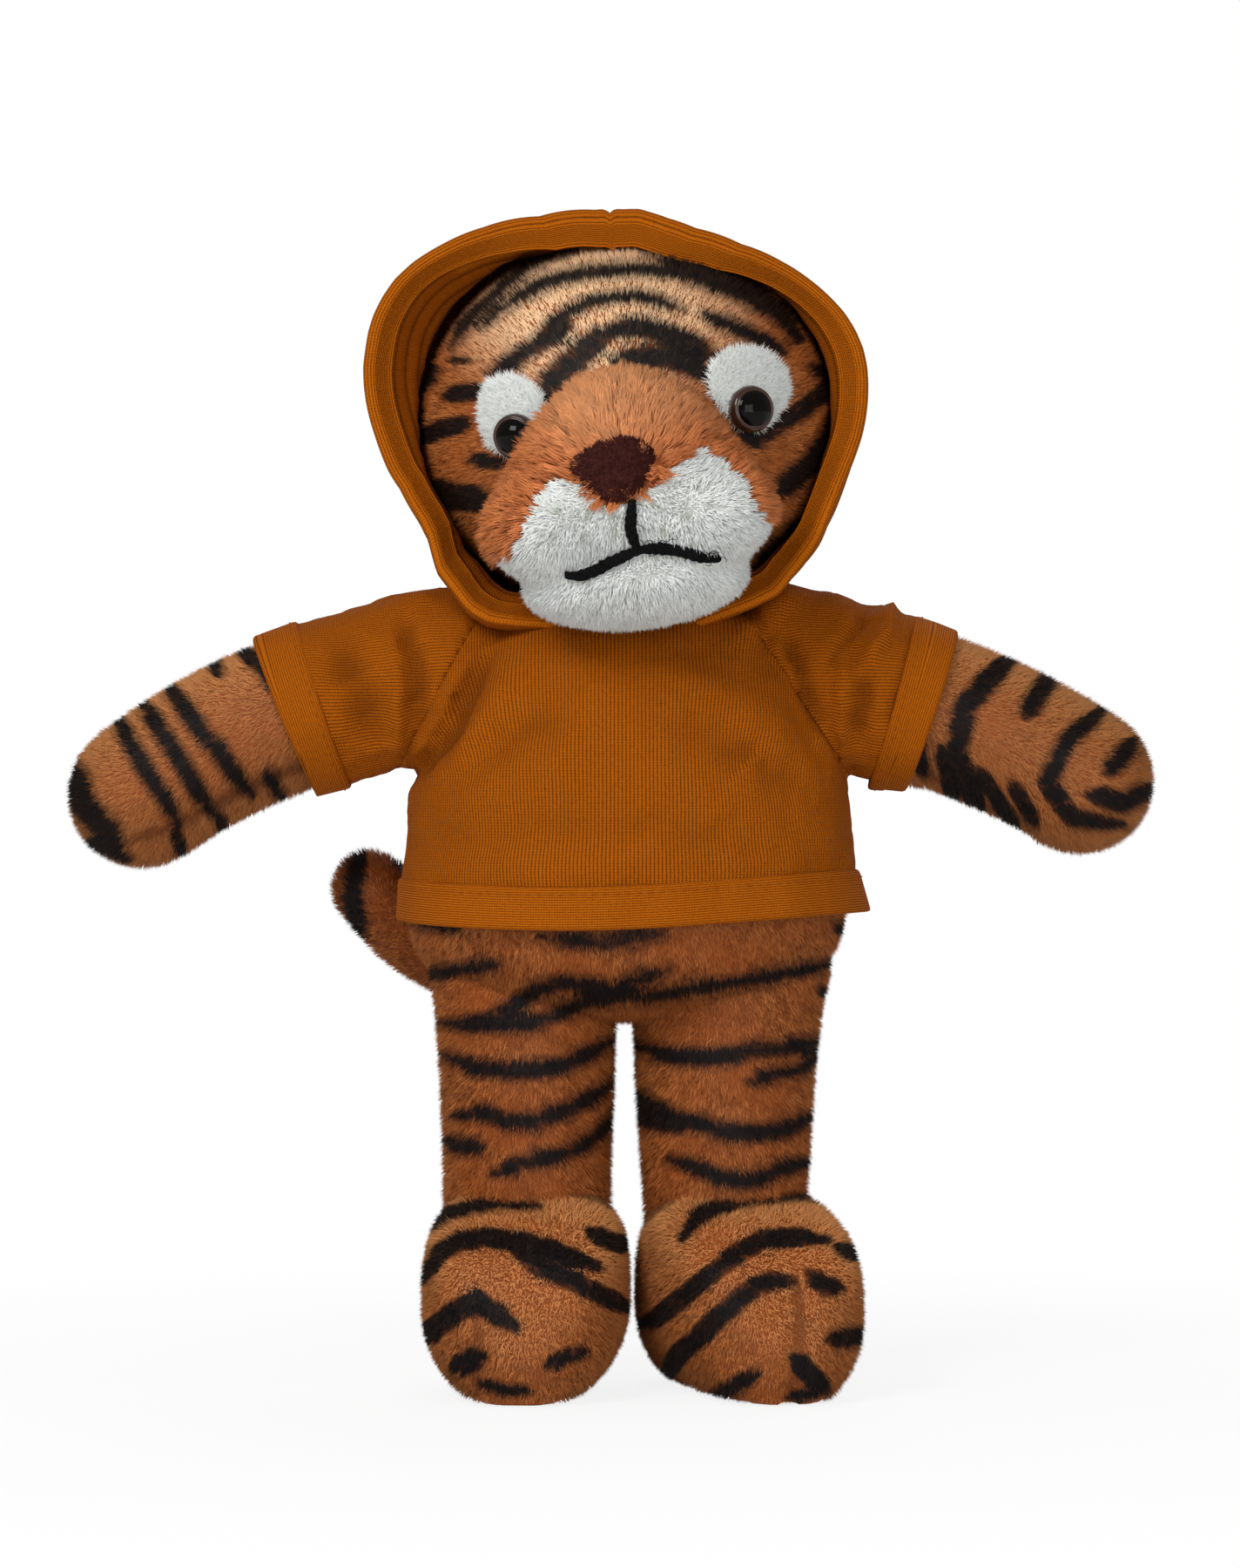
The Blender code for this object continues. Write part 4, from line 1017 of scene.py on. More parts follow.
# The way in which the pile of the body lies
downward = np.array((0.0, -0.15, -1.0))
shortPile = {
    "length": 0.0025, "width": 0.00031, "lean": 0.9, "wild": 0.28, "every": 8, "clump": 0.26,
    "sink": 0.0003, "bent": 0, "soft": 2.6,
}
# How far the shirt presses the skin in
shirtPress = 0.0017
# Roots of fibres scattered on each skin
fibres = {
    "arm": 58000, "leg": 54000, "foot": 56000, "seat": 110000, "tail": 22000, "face": 124000, "nape": 44000,
    "ear": 12000, "muzzle": 59000, "patch": 15000, "nose": 16000,
}


def dress(piece, nodes, body=None):
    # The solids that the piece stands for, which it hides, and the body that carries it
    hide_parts(*nodes)
    if body:
        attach(piece, body)


def dressSkin(skin, material, nodes, body):
    wear(skin, materials[material])
    dress(skin, nodes, body)


def fibreValues(skin, along, stripe=0.0):
    # A skin takes the colour that its fibres have at this share of their length; a low share gives it the painted
    # shade of the roots
    for key, value in (("along", along), ("tone", 0.5), ("stripe", stripe)):
        pointValues(skin, key, np.full(len(skin.data.vertices), value))


# Sewn seams that show between the pile, in the photograph's pixels
seams = {
    "armRight": [(9, [(146, 968), (200, 948), (262, 915), (330, 886), (380, 872)])],
    "armLeft": [(8, [(1050, 880), (1110, 915), (1180, 948)])],
    "footLeft": [(9, [(914, 1470), (918, 1510), (917, 1560), (905, 1610)])],
    "footRight": [(8, [(548, 1505), (550, 1550), (546, 1600)])],
}


def seamCover(points, normals, strokes, least):
    pixels = photoPixels(points) + 2 * wander(points, 0.003, 9)[:, None]
    return strokeCover(pixels, strokes) * (normals[:, 1] < least)


def skinValues(skin, strokes, sewn=()):
    # The stripes, and a shallow dent along each seam
    points, normals = placesOf(skin), normalsOf(skin)
    if sewn:
        wide = [(3.4 * width, route) for width, route in sewn]
        dent = strokeCover(photoPixels(points), wide) * (normals[:, 1] < 0.3)
        putPlaces(skin, points - normals * (0.0007 * dent)[:, None])
        points = placesOf(skin)
    fibreValues(skin, 0.15, stripeCover(points, normals, strokes))


def sinkUnderShirt(skin, covered):
    # The skin gives way under the folds of the shirt
    putPlaces(skin, placesOf(skin) - normalsOf(skin) * shirtPress * covered[:, None])


def pileOn(skin, name, count, strokes, body, keep, comb, seed, look=shortPile, material="tan", **extra):
    roots, ways = skinSamples(skin, count, seed)
    kept = keep(roots, ways) if keep else slice(None)
    values = {"stripe": lambda points, normals: stripeCover(points, normals, strokes), **extra}
    return makePile(name, roots[kept], ways[kept], comb, look, material, body, values, seed)


torso = grow(moved(plump("torso_skin", torsoSections(), (1, 0, 0)), bodyMiddle), -pileDepth)
sinkUnderShirt(torso, smoothStep(0.130, 0.138, placesOf(torso)[:, 2]))
skinValues(torso, stripes["torso"])
headSkin = makeHeadSkin()
skinValues(headSkin, stripes["head"])
print("skins: torso and head")

# Arms
for name, arm in armSizes.items():
    body, key = f"arm_{name}", f"arm{name.capitalize()}"
    skin = grow(plump(f"{body}_skin", armSections(name), (0, 1, 0), rings=60, sides=40), -pileDepth)
    cuffPlace = abs(jointPlace[f"{body}_raise"][0] - bodyMiddle[0]) + arm["sleeve"] + 0.002
    aside = np.abs(placesOf(skin)[:, 0] - bodyMiddle[0])
    sinkUnderShirt(skin, smoothStep(cuffPlace - 0.003, cuffPlace - 0.012, aside))
    skinValues(skin, stripes[key], seams[key])
    dressSkin(skin, "tan", [body], body)
    pileOn(
        skin, f"{body}_pile", fibres["arm"], stripes[key], body,
        lambda roots, ways: np.abs(roots[:, 0] - bodyMiddle[0]) > cuffPlace,
        unit(np.array((arm["side"], -0.1, -0.7))), 11 + arm["side"],
        seam=lambda points, normals: np.maximum(0.36, seamCover(points, normals, seams[key], 0.3)),
        # Arms: a paler tone throughout, and painted highlight on the upper side
        pale=lambda points, normals: 0.32 + 0.50 * smoothStep(0.2, 1.0, normals[:, 2]),
    )

# Legs and feet
for name, side in (("left", 1), ("right", -1)):
    body, leg, foot = f"leg_{name}", f"leg{name.capitalize()}", f"foot{name.capitalize()}"
    skin = grow(moved(plump(f"{body}_skin", legSections(side), (1, 0, 0), rings=56), bodyMiddle), -pileDepth)
    flareAtHip(skin, side)
    skinValues(skin, stripes[leg])
    dressSkin(skin, "tan", [body], None)
    pile = pileOn(
        skin, f"{body}_pile", fibres["leg"], stripes[leg], None,
        lambda roots, ways: (roots[:, 2] > 0.018) & (roots[:, 2] < 0.125), downward, 21 + side,
    )
    for piece in (skin, pile):
        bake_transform(piece)

    skin = makeFoot(name, side)
    skinValues(skin, stripes[foot], seams[foot])
    dressSkin(skin, "tan", [f"foot_{name}", f"sole_{name}"], body)
    pileOn(
        skin, f"foot_{name}_pile", fibres["foot"], stripes[foot], body,
        lambda roots, ways: (roots[:, 2] > 0.0012) & (ways[:, 2] > -0.93), (0.0, -0.8, -0.6), 31 + side,
        seam=lambda points, normals: 0.7 * seamCover(points, normals, seams[foot], 0),
        # Feet: a little paler tone throughout, and painted highlight on the upper side
        pale=lambda points, normals: 0.10 + 0.65 * smoothStep(-0.1, 0.7, normals[:, 2]),
    )

# Seat, from under the hem
dressSkin(torso, "tan", ["torso"], "torso")
pileOn(
    torso, "seat_pile", fibres["seat"], stripes["torso"], "torso", lambda roots, ways: roots[:, 2] < 0.130,
    downward, 41,
)

# Tail
tail = grow(moved(plump("tail_skin", tailSections(), (0, 0, 1), rings=44, sides=32), bodyMiddle), -pileDepth)
skinValues(tail, stripes["tail"])
dressSkin(tail, "tan", ["tail"], "tail")
pileOn(tail, "tail_pile", fibres["tail"], stripes["tail"], "tail", None, (-0.6, 0.0, 0.8), 51)
print("limbs and tail")

# Head
dressSkin(headSkin, "tan", ["head"], "head")


def combHead(roots):
    # The pile of the head runs back from the nose
    return unit(roots - (headMiddle + np.array((0, -0.06, -0.01))))


def litPatch(points, middle, wide, edge, core):
    # Where the pile catches the light, round a place in the photograph
    pixels = photoPixels(points)
    return smoothStep(edge, core, np.hypot((pixels[:, 0] - middle[0]) / wide, pixels[:, 1] - middle[1]))


napeStart = bodyMiddle[1] - 0.016
for name, keep, length, seed in (
    ("face", lambda roots, ways: (roots[:, 1] < napeStart) & (roots[:, 2] > 0.206), 0.0021, 61),
    ("nape", lambda roots, ways: (roots[:, 1] >= napeStart) & (roots[:, 2] > 0.212), 0.0014, 62),
):
    pileOn(
        headSkin, f"{name}_pile", fibres[name], stripes["head"], "head", keep, combHead, seed,
        dict(shortPile, length=length), "crown",
        # Painted highlight round the forehead
        pale=lambda points, normals: litPatch(points, (690, 360), 1.6, 135, 40),
    )

# Ears under the hood, made thinner and drawn in toward the head's middle by a share of their distance
ears = {"thinner": 0.0016, "inward": 0.05, "pile": 0.0007}
for name in ("ear_left", "ear_right"):
    low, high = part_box(name)
    ear = twin(frame["nodes"][name], f"{name}_skin")
    ear.parent = None
    for key in [key for key in ear.keys() if key.startswith("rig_")]:
        del ear[key]
    editMesh(ear, mergeStep())
    remesh(ear, 0.0011, 4)
    grow(ear, -ears["thinner"])
    moved(ear, (headMiddle - (np.array(low) + np.array(high)) / 2) * ears["inward"])
    fibreValues(ear, 0.15)
    dressSkin(ear, "crown", [name], "head")
    pileOn(
        ear, f"{name}_pile", fibres["ear"], [], "head",
        lambda roots, ways: ((roots - headMiddle) * ways).sum(axis=1) > 0, combHead, 66,
        dict(shortPile, length=ears["pile"]), "crown",
    )

# Muzzle, cheeks and chin
muzzleLook = {
    "length": 0.0052, "width": 0.00037, "lean": 0.75, "wild": 0.34, "every": 24, "clump": 0.74,
    "sink": 0.0004, "bent": 0.08, "soft": 1.2,
}
cheekLook = dict(muzzleLook, length=0.0030, every=13, clump=0.38, soft=1.6)


def muzzleWhite(points):
    return insideOutline(wandering(points, photoPixels(points), 4.0, 0.004, (5, 6)), whiteMuzzle)


def dotCover(points, normals):
    pixels = photoPixels(points)
    nearest = np.min([np.hypot(pixels[:, 0] - x, pixels[:, 1] - y) for x, y in whiskerDots], axis=0)
    return 0.7 * smoothStep(6.5, 2.0, nearest)


def combMuzzle(roots):
    nose = headMiddle + np.array((0.0, -0.085, -0.018))
    return unit(roots - nose) + np.array((0, 0.1, -0.15))


muzzle = makeMuzzleSkin()
white = muzzleWhite(placesOf(muzzle))
fibreValues(muzzle, 0.2)
faceWhite = [white[list(face.vertices)].mean() > 0.5 for face in muzzle.data.polygons]
wear(muzzle, materials["orange"], materials["white"], second=faceWhite)
dress(muzzle, ["muzzle", "cheek_left", "cheek_right", "chin"], "head")
roots, ways = frontSamples(muzzle, fibres["muzzle"], 71, 0.35)
white = muzzleWhite(roots)
for name, chosen, look, material, dots in (
    ("muzzle_pile", ~white, muzzleLook, "orange", np.zeros((~white).sum())),
    ("cheek_pile", white, cheekLook, "white", dotCover),
):
    # Painted highlight on the top of the muzzle
    pale = 0.30 * litPatch(roots[chosen], (710, 462), 1.5, 92, 20)
    values = {"stripe": dots, "pale": pale}
    makePile(name, roots[chosen], ways[chosen], combMuzzle, look, material, "head", values, 72)
print("head and muzzle")


def ontoFace(trees, x, y):
    # Where the sight line through a pixel meets the nearest of the surfaces
    start, way = pixelRay(x, y)
    hits = [tree.ray_cast(start, way) for tree in trees]
    hits = [hit for hit in hits if hit[0] is not None]
    place, normal, _, _ = min(hits, key=lambda hit: hit[3])
    return np.array(place), np.array(normal)


headTree, muzzleTree = surfaceTree(headSkin), surfaceTree(muzzle)


def padOnFace(name, outline, middle, crown, lift, trees, rings=10, sides=48):
    # A pad whose edge follows an outline in the photograph, crowned in the middle
    pad, ball = newBall(name, sides, 2 * rings)
    turns, reaches = polarOutline(np.array(outline, float) - middle)
    places = np.empty_like(ball)
    for index, (x, y, z) in enumerate(ball):
        turn, radial = math.atan2(y, x), math.hypot(x, y)
        out = radial * np.interp(turn, turns, reaches, period=2 * math.pi)
        place, normal = ontoFace(trees, middle[0] + out * math.cos(turn), middle[1] + out * math.sin(turn))
        lifted = unit(0.5 * normal + np.array((0, -1, 0)))
        places[index] = place + lifted * (lift + crown * z * (1 if z > 0 else 0.3))
    putPlaces(pad, places)
    applyModifier(pad, "SMOOTH", factor=0.5, iterations=3)
    editMesh(pad, outwardStep)
    shadeSmooth(pad)
    return pad


# Eye patches
patches = {
    "right": {"outline": [(563, 438), (585, 433), (607, 440), (620, 454), (628, 470), (622, 496), (606, 520),
                          (583, 520), (566, 514), (557, 496), (554, 474), (557, 452)],
              "middle": (590, 478)},
    "left": {"outline": [(824, 411), (843, 402), (866, 403), (887, 411), (896, 424), (903, 446), (901, 462),
                         (890, 476), (878, 490), (850, 490), (830, 468), (814, 446), (814, 426)],
             "middle": (858, 446)},
}
patchLook = dict(shortPile, length=0.0028, lean=0.30, wild=0.42, width=0.00032, clump=0.3)
for name, patch in patches.items():
    pad = padOnFace(f"eye_patch_{name}_skin", patch["outline"], patch["middle"], 0.0016, 0.0004, [headTree])
    fibreValues(pad, 0.4)
    dressSkin(pad, "white", [f"eye_patch_{name}"], "head")
    roots, ways = frontSamples(pad, fibres["patch"], 81, -0.05)
    ways = unit(ways + (0, -0.6, 0))
    values = {"stripe": np.zeros(len(roots))}
    makePile(f"eye_patch_{name}_pile", roots, ways, (0.0, 0.0, 0.6), patchLook, "white", "head", values, 82)

# Eyes: a glossy dome with a brown ring round its black lens
eyes = {
    "right": {"middle": (598, 500), "radius": 0.0059},
    "left": {"middle": (855, 471), "radius": 0.0061},
}
# Radius as a share of the eye's, and height
eyeProfile = [
    (0.0, 0.0052), (0.30, 0.0050), (0.55, 0.0044), (0.74, 0.0036), (0.78, 0.0032), (0.86, 0.0033),
    (0.95, 0.0026), (1.0, 0.0014), (0.98, 0.0), (0.90, -0.0012),
]
eyeLift, lensShare, eyeRings = 0.0026, 0.765, 32
for name, eye in eyes.items():
    place, normal = ontoFace([headTree], *eye["middle"])
    toward = unit(0.75 * normal + 0.25 * np.array((0, -1, 0)))
    beside = unit(np.cross(toward, (0, 0, 1)))
    upward = np.cross(beside, toward)
    rows = smoothThrough(eyeProfile, (-0.1, 0.0052), (0.8, -0.002), eyeRings + 1)
    rows[0] = eyeProfile[0]
    dome, ball = newBall(f"eye_{name}_dome", 64, eyeRings)
    ring, turn = ringsAndTurns(ball, eyeRings)
    radial, height = rows[ring, 0] * eye["radius"], rows[ring, 1]
    radial[(ring == 0) | (ring == eyeRings)] = 0
    finishForm(dome, (
        place + beside * (radial * np.cos(turn))[:, None] + upward * (radial * np.sin(turn))[:, None]
        + toward * (height + eyeLift)[:, None]
    ))
    fromAxis = [np.linalg.norm(np.cross(np.array(face.center) - place, toward)) for face in dome.data.polygons]
    outside = np.array(fromAxis) > lensShare * eye["radius"]
    wear(dome, materials["lens"], materials["eyeRing"], second=outside)
    dress(dome, [f"eye_{name}"], "head")
    wear(frame["nodes"][f"eye_washer_{name}"], materials["washer"])

# Nose
noseOutline = [
    (652, 537), (664, 523), (681, 512), (702, 506), (722, 503), (746, 512), (754, 523), (748, 540), (740, 555),
    (728, 571), (705, 577), (686, 570), (675, 557), (660, 547),
]
noseOutline = [(706 + 0.94 * (x - 706), 537 + 0.94 * (y - 537)) for x, y in noseOutline]
nose = padOnFace("nose_pad", noseOutline, (706, 537), 0.0036, 0.0022, [muzzleTree], rings=14, sides=56)
fibreValues(nose, 0.4)
dressSkin(nose, "velour", ["nose"], "head")
velourLook = dict(
    shortPile, length=0.0010, lean=0.4, wild=0.45, width=0.00022, clump=0.5, every=14, sink=0.0002, soft=1.2,
)
roots, ways = frontSamples(nose, fibres["nose"], 91, 0.2)
values = {"stripe": np.zeros(len(roots))}
makePile("nose_pile", roots, ways, (0.0, -0.2, -1.0), velourLook, "velour", "head", values, 92)
print("eyes and nose")


# Mouth: a yarn of three plies, laid on the pile
def threads(name, paths, radius, sides=8, closed=False):
    # Round threads swept along the paths, in one piece
    deselectAll()
    curve = bpy.data.curves.new(name, "CURVE")
    curve.dimensions = "3D"
    curve.bevel_depth = radius
    curve.bevel_resolution = max(0, sides // 2 - 2)
    curve.use_fill_caps = not closed
    for path in paths:
        spline = curve.splines.new("POLY")
        spline.points.add(len(path) - 1)
        spline.points.foreach_set("co", np.hstack([path, np.ones((len(path), 1))]).ravel())
        spline.use_cyclic_u = closed
    activate(link(name, curve))
    bpy.ops.object.convert(target="MESH")
    thread = bpy.context.object
    editMesh(thread, mergeStep(), outwardStep)
    shadeSmooth(thread)
    return thread


def alongFace(pixels, lift, count):
    rows = []
    for x, y in smoothThrough(
        [(*point, 0) for point in pixels], (*(2 * np.array(pixels[0]) - pixels[1]), 0),
        (*(2 * np.array(pixels[-1]) - pixels[-2]), 0), count,
    )[:, :2]:
        place, normal = ontoFace([muzzleTree, headTree], x, y)
        rows.append(place + unit(0.3 * normal + np.array((0, -1, 0))) * lift)
    return np.array(rows)


def plies(path, radius, twist):
    # The courses of three strands that wind round each other
    tangents = unit(np.gradient(path, axis=0))
    beside = unit(np.cross(tangents, (0, 1, 0)))
    other = np.cross(tangents, beside)
    along = distancesAlong(path)
    taper = np.clip(np.minimum(along, along[-1] - along) / (3 * radius), 0.35, 1)
    strands = []
    for ply in range(3):
        turn = 2 * math.pi * (along / twist + ply / 3)
        offset = beside * np.cos(turn)[:, None] + other * np.sin(turn)[:, None]
        strands.append(path + offset * (0.52 * radius * taper)[:, None])
    return strands


mouth = {
    "philtrum": [(726, 574), (725, 590), (724, 606), (731, 628), (734, 634)],
    "right": [(738, 630), (720, 637), (700, 647), (682, 657), (664, 661), (650, 659)],
    "left": [(730, 631), (752, 629), (782, 632), (804, 638), (824, 640)],
}
yarnRadius = 0.0015
strands = []
for route in mouth.values():
    strands += plies(alongFace(route, 0.0028, 46), yarnRadius, 0.006)
random = np.random.default_rng(101)
hairs = []
for number in range(44):
    # Loose hairs of the yarn
    at = mouth[("left", "left", "right", "philtrum")[number % 4]]
    place = random.uniform(0.2, len(at) - 1.2)
    x, y = (np.interp(place, range(len(at)), [point[axis] for point in at]) for axis in (0, 1))
    turns = random.uniform(0, 6.28) + np.linspace(0, random.uniform(1.5, 4.5), 14)
    radius = random.uniform(4, 9)
    drift = random.uniform(-2.0, 2.0)
    route = [(x + radius * (math.cos(t) - math.cos(turns[0])) + drift * (t - turns[0]),
              y + 0.8 * radius * (math.sin(t) - math.sin(turns[0]))) for t in turns]
    hairs.append(alongFace(route, 0.0036 + 0.0012 * random.random(), 22))
yarn = joined(
    "mouth_yarn_plies",
    [threads("mouth_plies", strands, 0.55 * yarnRadius), threads("mouth_hairs", hairs, 0.00009, sides=4)],
)
wear(yarn, materials["yarn"])
dress(yarn, ["mouth_yarn"], "head")
print("mouth")


# Shirt

calmKeys = ("calmX", "calmY", "calmZ")
# Wales of the knit round the body and round a sleeve
bodyWales, sleeveWales = 360, 166


def calmPlaces(piece):
    # Where the cloth lay before its folds, so that they carry its knit with them
    mesh = piece.data
    places = placesOf(piece)
    for axis, key in enumerate(calmKeys):
        if key in mesh.attributes:
            column = np.empty(len(places), np.float32)
            mesh.attributes[key].data.foreach_get("value", column)
            places[:, axis] = column
            mesh.attributes.remove(mesh.attributes[key])
    return places


def cornersOf(mesh):
    corner = np.empty(len(mesh.loops), np.int32)
    mesh.loops.foreach_get("vertex_index", corner)
    return corner


def addClothMap(piece, mapping, wales):
    # The cloth's own map, in metres across and along the knit
    mesh = piece.data
    layout = mapping(calmPlaces(piece))[cornersOf(mesh)]
    # A face that crosses the line where the map starts again reads on past it
    count = np.empty(len(mesh.polygons), np.int32)
    mesh.polygons.foreach_get("loop_total", count)
    starts = np.concatenate([[0], np.cumsum(count)[:-1]])
    first = np.repeat(layout[starts, 0], count)
    layout[:, 0] += wales / waleDensity * np.round((first - layout[:, 0]) * waleDensity / wales)
    putMap(piece, "cloth", layout)


def acrossWales(turn, wales):
    return turn / (2 * math.pi) * wales / waleDensity


def bodyMap(points):
    # Wales run up the shirt, a whole number of them round it, and straight up over the shoulders
    x, y = points[:, 0] - bodyMiddle[0], points[:, 1] - bodyMiddle[1]
    turn = np.arctan2(x / 0.056, -y / 0.046)
    flat = np.arcsin(np.clip(x / 0.058, -1, 1))
    flat = np.where(y > 0, np.sign(x) * math.pi - flat, flat)
    turn += (flat - turn) * smoothStep(0.150, 0.172, points[:, 2])
    return np.stack([acrossWales(turn, bodyWales), points[:, 2]], axis=1)


# Folds, as ridges in the photograph's pixels: height in millimetres, width, points
folds = [
    (1.6, 26, [(440, 692), (500, 678), (560, 672)]),
    (-2.2, 32, [(378, 725), (414, 790), (436, 862)]),
    (1.7, 10, [(450, 715), (455, 790), (460, 872)]),
    (-2.4, 17, [(464, 690), (474, 760), (482, 822), (484, 850)]),
    (1.2, 13, [(532, 728), (500, 786), (472, 856)]),
    (1.5, 10, [(556, 738), (518, 798), (488, 850), (468, 886)]),
    (-2.9, 18, [(560, 730), (542, 786), (522, 832), (490, 872), (468, 900)]),
    (1.9, 27, [(594, 752), (564, 826), (512, 892), (476, 925)]),
    (-1.3, 26, [(660, 805), (585, 850), (528, 885), (486, 925)]),
    (1.0, 40, [(690, 860), (600, 885), (500, 930)]),
    (2.2, 24, [(835, 745), (874, 706), (902, 676), (918, 655)]),
    (1.4, 26, [(880, 700), (930, 678), (985, 690)]),
    (-1.8, 11, [(1003, 690), (980, 722), (956, 770)]),
    (2.3, 14, [(1032, 680), (1010, 735), (986, 775), (970, 815)]),
    (-2.5, 16, [(984, 735), (991, 790), (984, 860)]),
    (1.5, 9, [(976, 745), (968, 800), (970, 872)]),
    (-2.4, 14, [(900, 722), (920, 780), (944, 850)]),
    (1.6, 10, [(876, 705), (903, 765), (934, 830), (962, 884)]),
    (-1.3, 13, [(1062, 705), (1042, 770), (1020, 840)]),
    (1.1, 28, [(740, 752), (840, 800), (900, 850), (968, 914)]),
    (-1.1, 44, [(740, 820), (850, 860), (940, 905)]),
    (0.9, 34, [(540, 985), (640, 998), (740, 986)]),
    (-0.8, 38, [(600, 958), (720, 944), (860, 968)]),
    (0.9, 34, [(830, 1000), (900, 985), (975, 945)]),
    (-0.7, 34, [(478, 960), (560, 962), (640, 940)]),
]


deepest = 0.0034


def foldHeight(points):
    pixels = photoPixels(points)
    behind = points[:, 1] > bodyMiddle[1]
    pixels[behind] += (14, -10)
    wandering(points, pixels, 4, 0.02, (201, 202))
    total = np.zeros(len(points))
    for height, width, route in folds:
        nearest, place = np.full(len(points), 1e9), np.zeros(len(points))
        for distance, share in alongRoute(pixels, route):
            closer = distance < nearest
            nearest[closer], place[closer] = distance[closer], share[closer]
        ends = np.clip(4 * np.minimum(place, 1 - place) + 0.15, 0, 1)
        total += 1.35 * height / 1000 * ends * np.exp(-((nearest / width) ** 2) * 2.2)
    total = np.where(total < 0, -deepest * np.tanh(-total / deepest), total)
    return total + 0.00035 * wander(points, 0.016, 203) + 0.00012 * wander(points, 0.006, 204)


clothGap = 0.0014
shirtAside = 0.0008
raglan = {
    "left": {"top": np.array((0.0359, 0, 0.2013)), "normal": unit(np.array((0.0403, 0, 0.0265)))},
    "right": {"top": np.array((-0.0365, 0, 0.2001)), "normal": unit(np.array((-0.0345, 0, 0.0184)))},
}
seamDip = {"depth": 0.0009, "width": 0.0013}
hem = {"bottom": 0.1230, "width": 0.0113, "fold": 0.0009}
hemTop = hem["bottom"] + hem["width"]
shirtTop, sleeveTop = 0.2048, 0.2150


def finishCloth(piece, thickness=0.0012):
    applyModifier(piece, "SOLIDIFY", thickness=thickness, offset=-1, use_rim=True)
    shadeSmooth(piece)


def dressKnit(piece, nodes, body, material="knit"):
    wear(piece, materials[material])
    dress(piece, nodes, body)


# The whole shirt, with its folds and the dips of its raglan seams
shirtForms = [moved(plump("shirt_torso", torsoSections(clothGap), (1, 0, 0), rings=60, sides=64), bodyMiddle)]
shirtForms += [plump(f"shirt_arm_{name}", armSections(name, clothGap), (0, 1, 0)) for name in armSizes]
shirt = remesh(joined("shirt_body_cloth", shirtForms), 0.0016, 14)
moved(grow(shirt, 0.0006), (shirtAside, 0, 0))
points = placesOf(shirt)
lift = foldHeight(points)
for seam in raglan.values():
    away = (points - seam["top"]) @ seam["normal"]
    lift -= seamDip["depth"] * np.exp(-((away / seamDip["width"]) ** 2))
for key, column in zip(calmKeys, points.T):
    pointValues(shirt, key, column)
putPlaces(shirt, points + normalsOf(shirt) * lift[:, None])
# Painted shade: the cloth's colour darkens in the valleys of its folds
pointValues(shirt, "crease", smoothStep(0.0002, deepest, -lift))
shirtTree = surfaceTree(shirt)
bisect(shirt, (0, 0, hemTop - 0.0065), (0, 0, -1))

sleeves = {name: twin(shirt, f"sleeve_{name}_cloth") for name in armSizes}
for name, seam in raglan.items():
    bisect(sleeves[name], seam["top"], -seam["normal"])
    bisect(shirt, seam["top"], seam["normal"])
bisect(shirt, (0, 0, shirtTop), (0, 0, 1))
addClothMap(shirt, bodyMap, bodyWales)
finishCloth(shirt)
dressKnit(shirt, ["shirt_front", "shirt_back"], "torso")
print("shirt body", len(shirt.data.polygons))


def armFrame(name, distance):
    # The arm's middle, way and width at a distance from the shoulder
    spine = np.array(armSpine(name))
    step = np.linalg.norm(spine[1] - spine[0])
    index = min(int(distance / step), len(spine) - 2)
    way = unit(spine[index + 1] - spine[index])
    middle = spine[index] + way * (distance - index * step)
    radius = armRadius * np.interp(distance / step, range(9), armRadiusShares)
    return middle, way, radius


def fromArm(way, turn):
    # The way out of an arm at a turn round it
    up = unit(np.cross(way, (0, 1, 0)))
    up = up if up[2] > 0 else -up
    return np.array((0, 1, 0)) * math.cos(turn) + up * math.sin(turn)


def clothRing(name, rows, across, along, turned=False):
    # A closed strip of cloth from rows of points, with its map in metres
    deselectAll()
    sides = len(rows[0])
    bpy.ops.mesh.primitive_grid_add(x_subdivisions=sides, y_subdivisions=len(rows) - 1, size=2)
    strip = bpy.context.object
    strip.name = name
    flat = placesOf(strip)
    column = np.rint((flat[:, 0] + 1) / 2 * sides).astype(int)
    row = np.rint((flat[:, 1] + 1) / 2 * (len(rows) - 1)).astype(int)
    putPlaces(strip, np.array(rows)[row, column % sides])
    layout = np.stack([column / sides * across, row / (len(rows) - 1) * along], axis=1)
    layout = layout[:, ::-1] if turned else layout
    putMap(strip, "cloth", layout[cornersOf(strip.data)])
    editMesh(strip, mergeStep(0.000001), outwardStep)
    return strip


def foldProfile(width, fold, steps=12):
    # A folded band seen from its edge: out over the fold, round its end and back inside
    rows = [(0.0, -1.2 * fold), (0.01, 0.2 * fold), (0.05, 0.8 * fold), (0.12, fold)]
    rows += [(0.12 + 0.80 * step / steps, fold) for step in range(1, steps + 1)]
    rows += [(0.975, 0.75 * fold), (1.0, 0.1 * fold), (0.985, -0.8 * fold)]
    rows += [(0.93, -1.2 * fold), (0.5, -1.2 * fold)]
    return [(share * width, lift) for share, lift in rows]


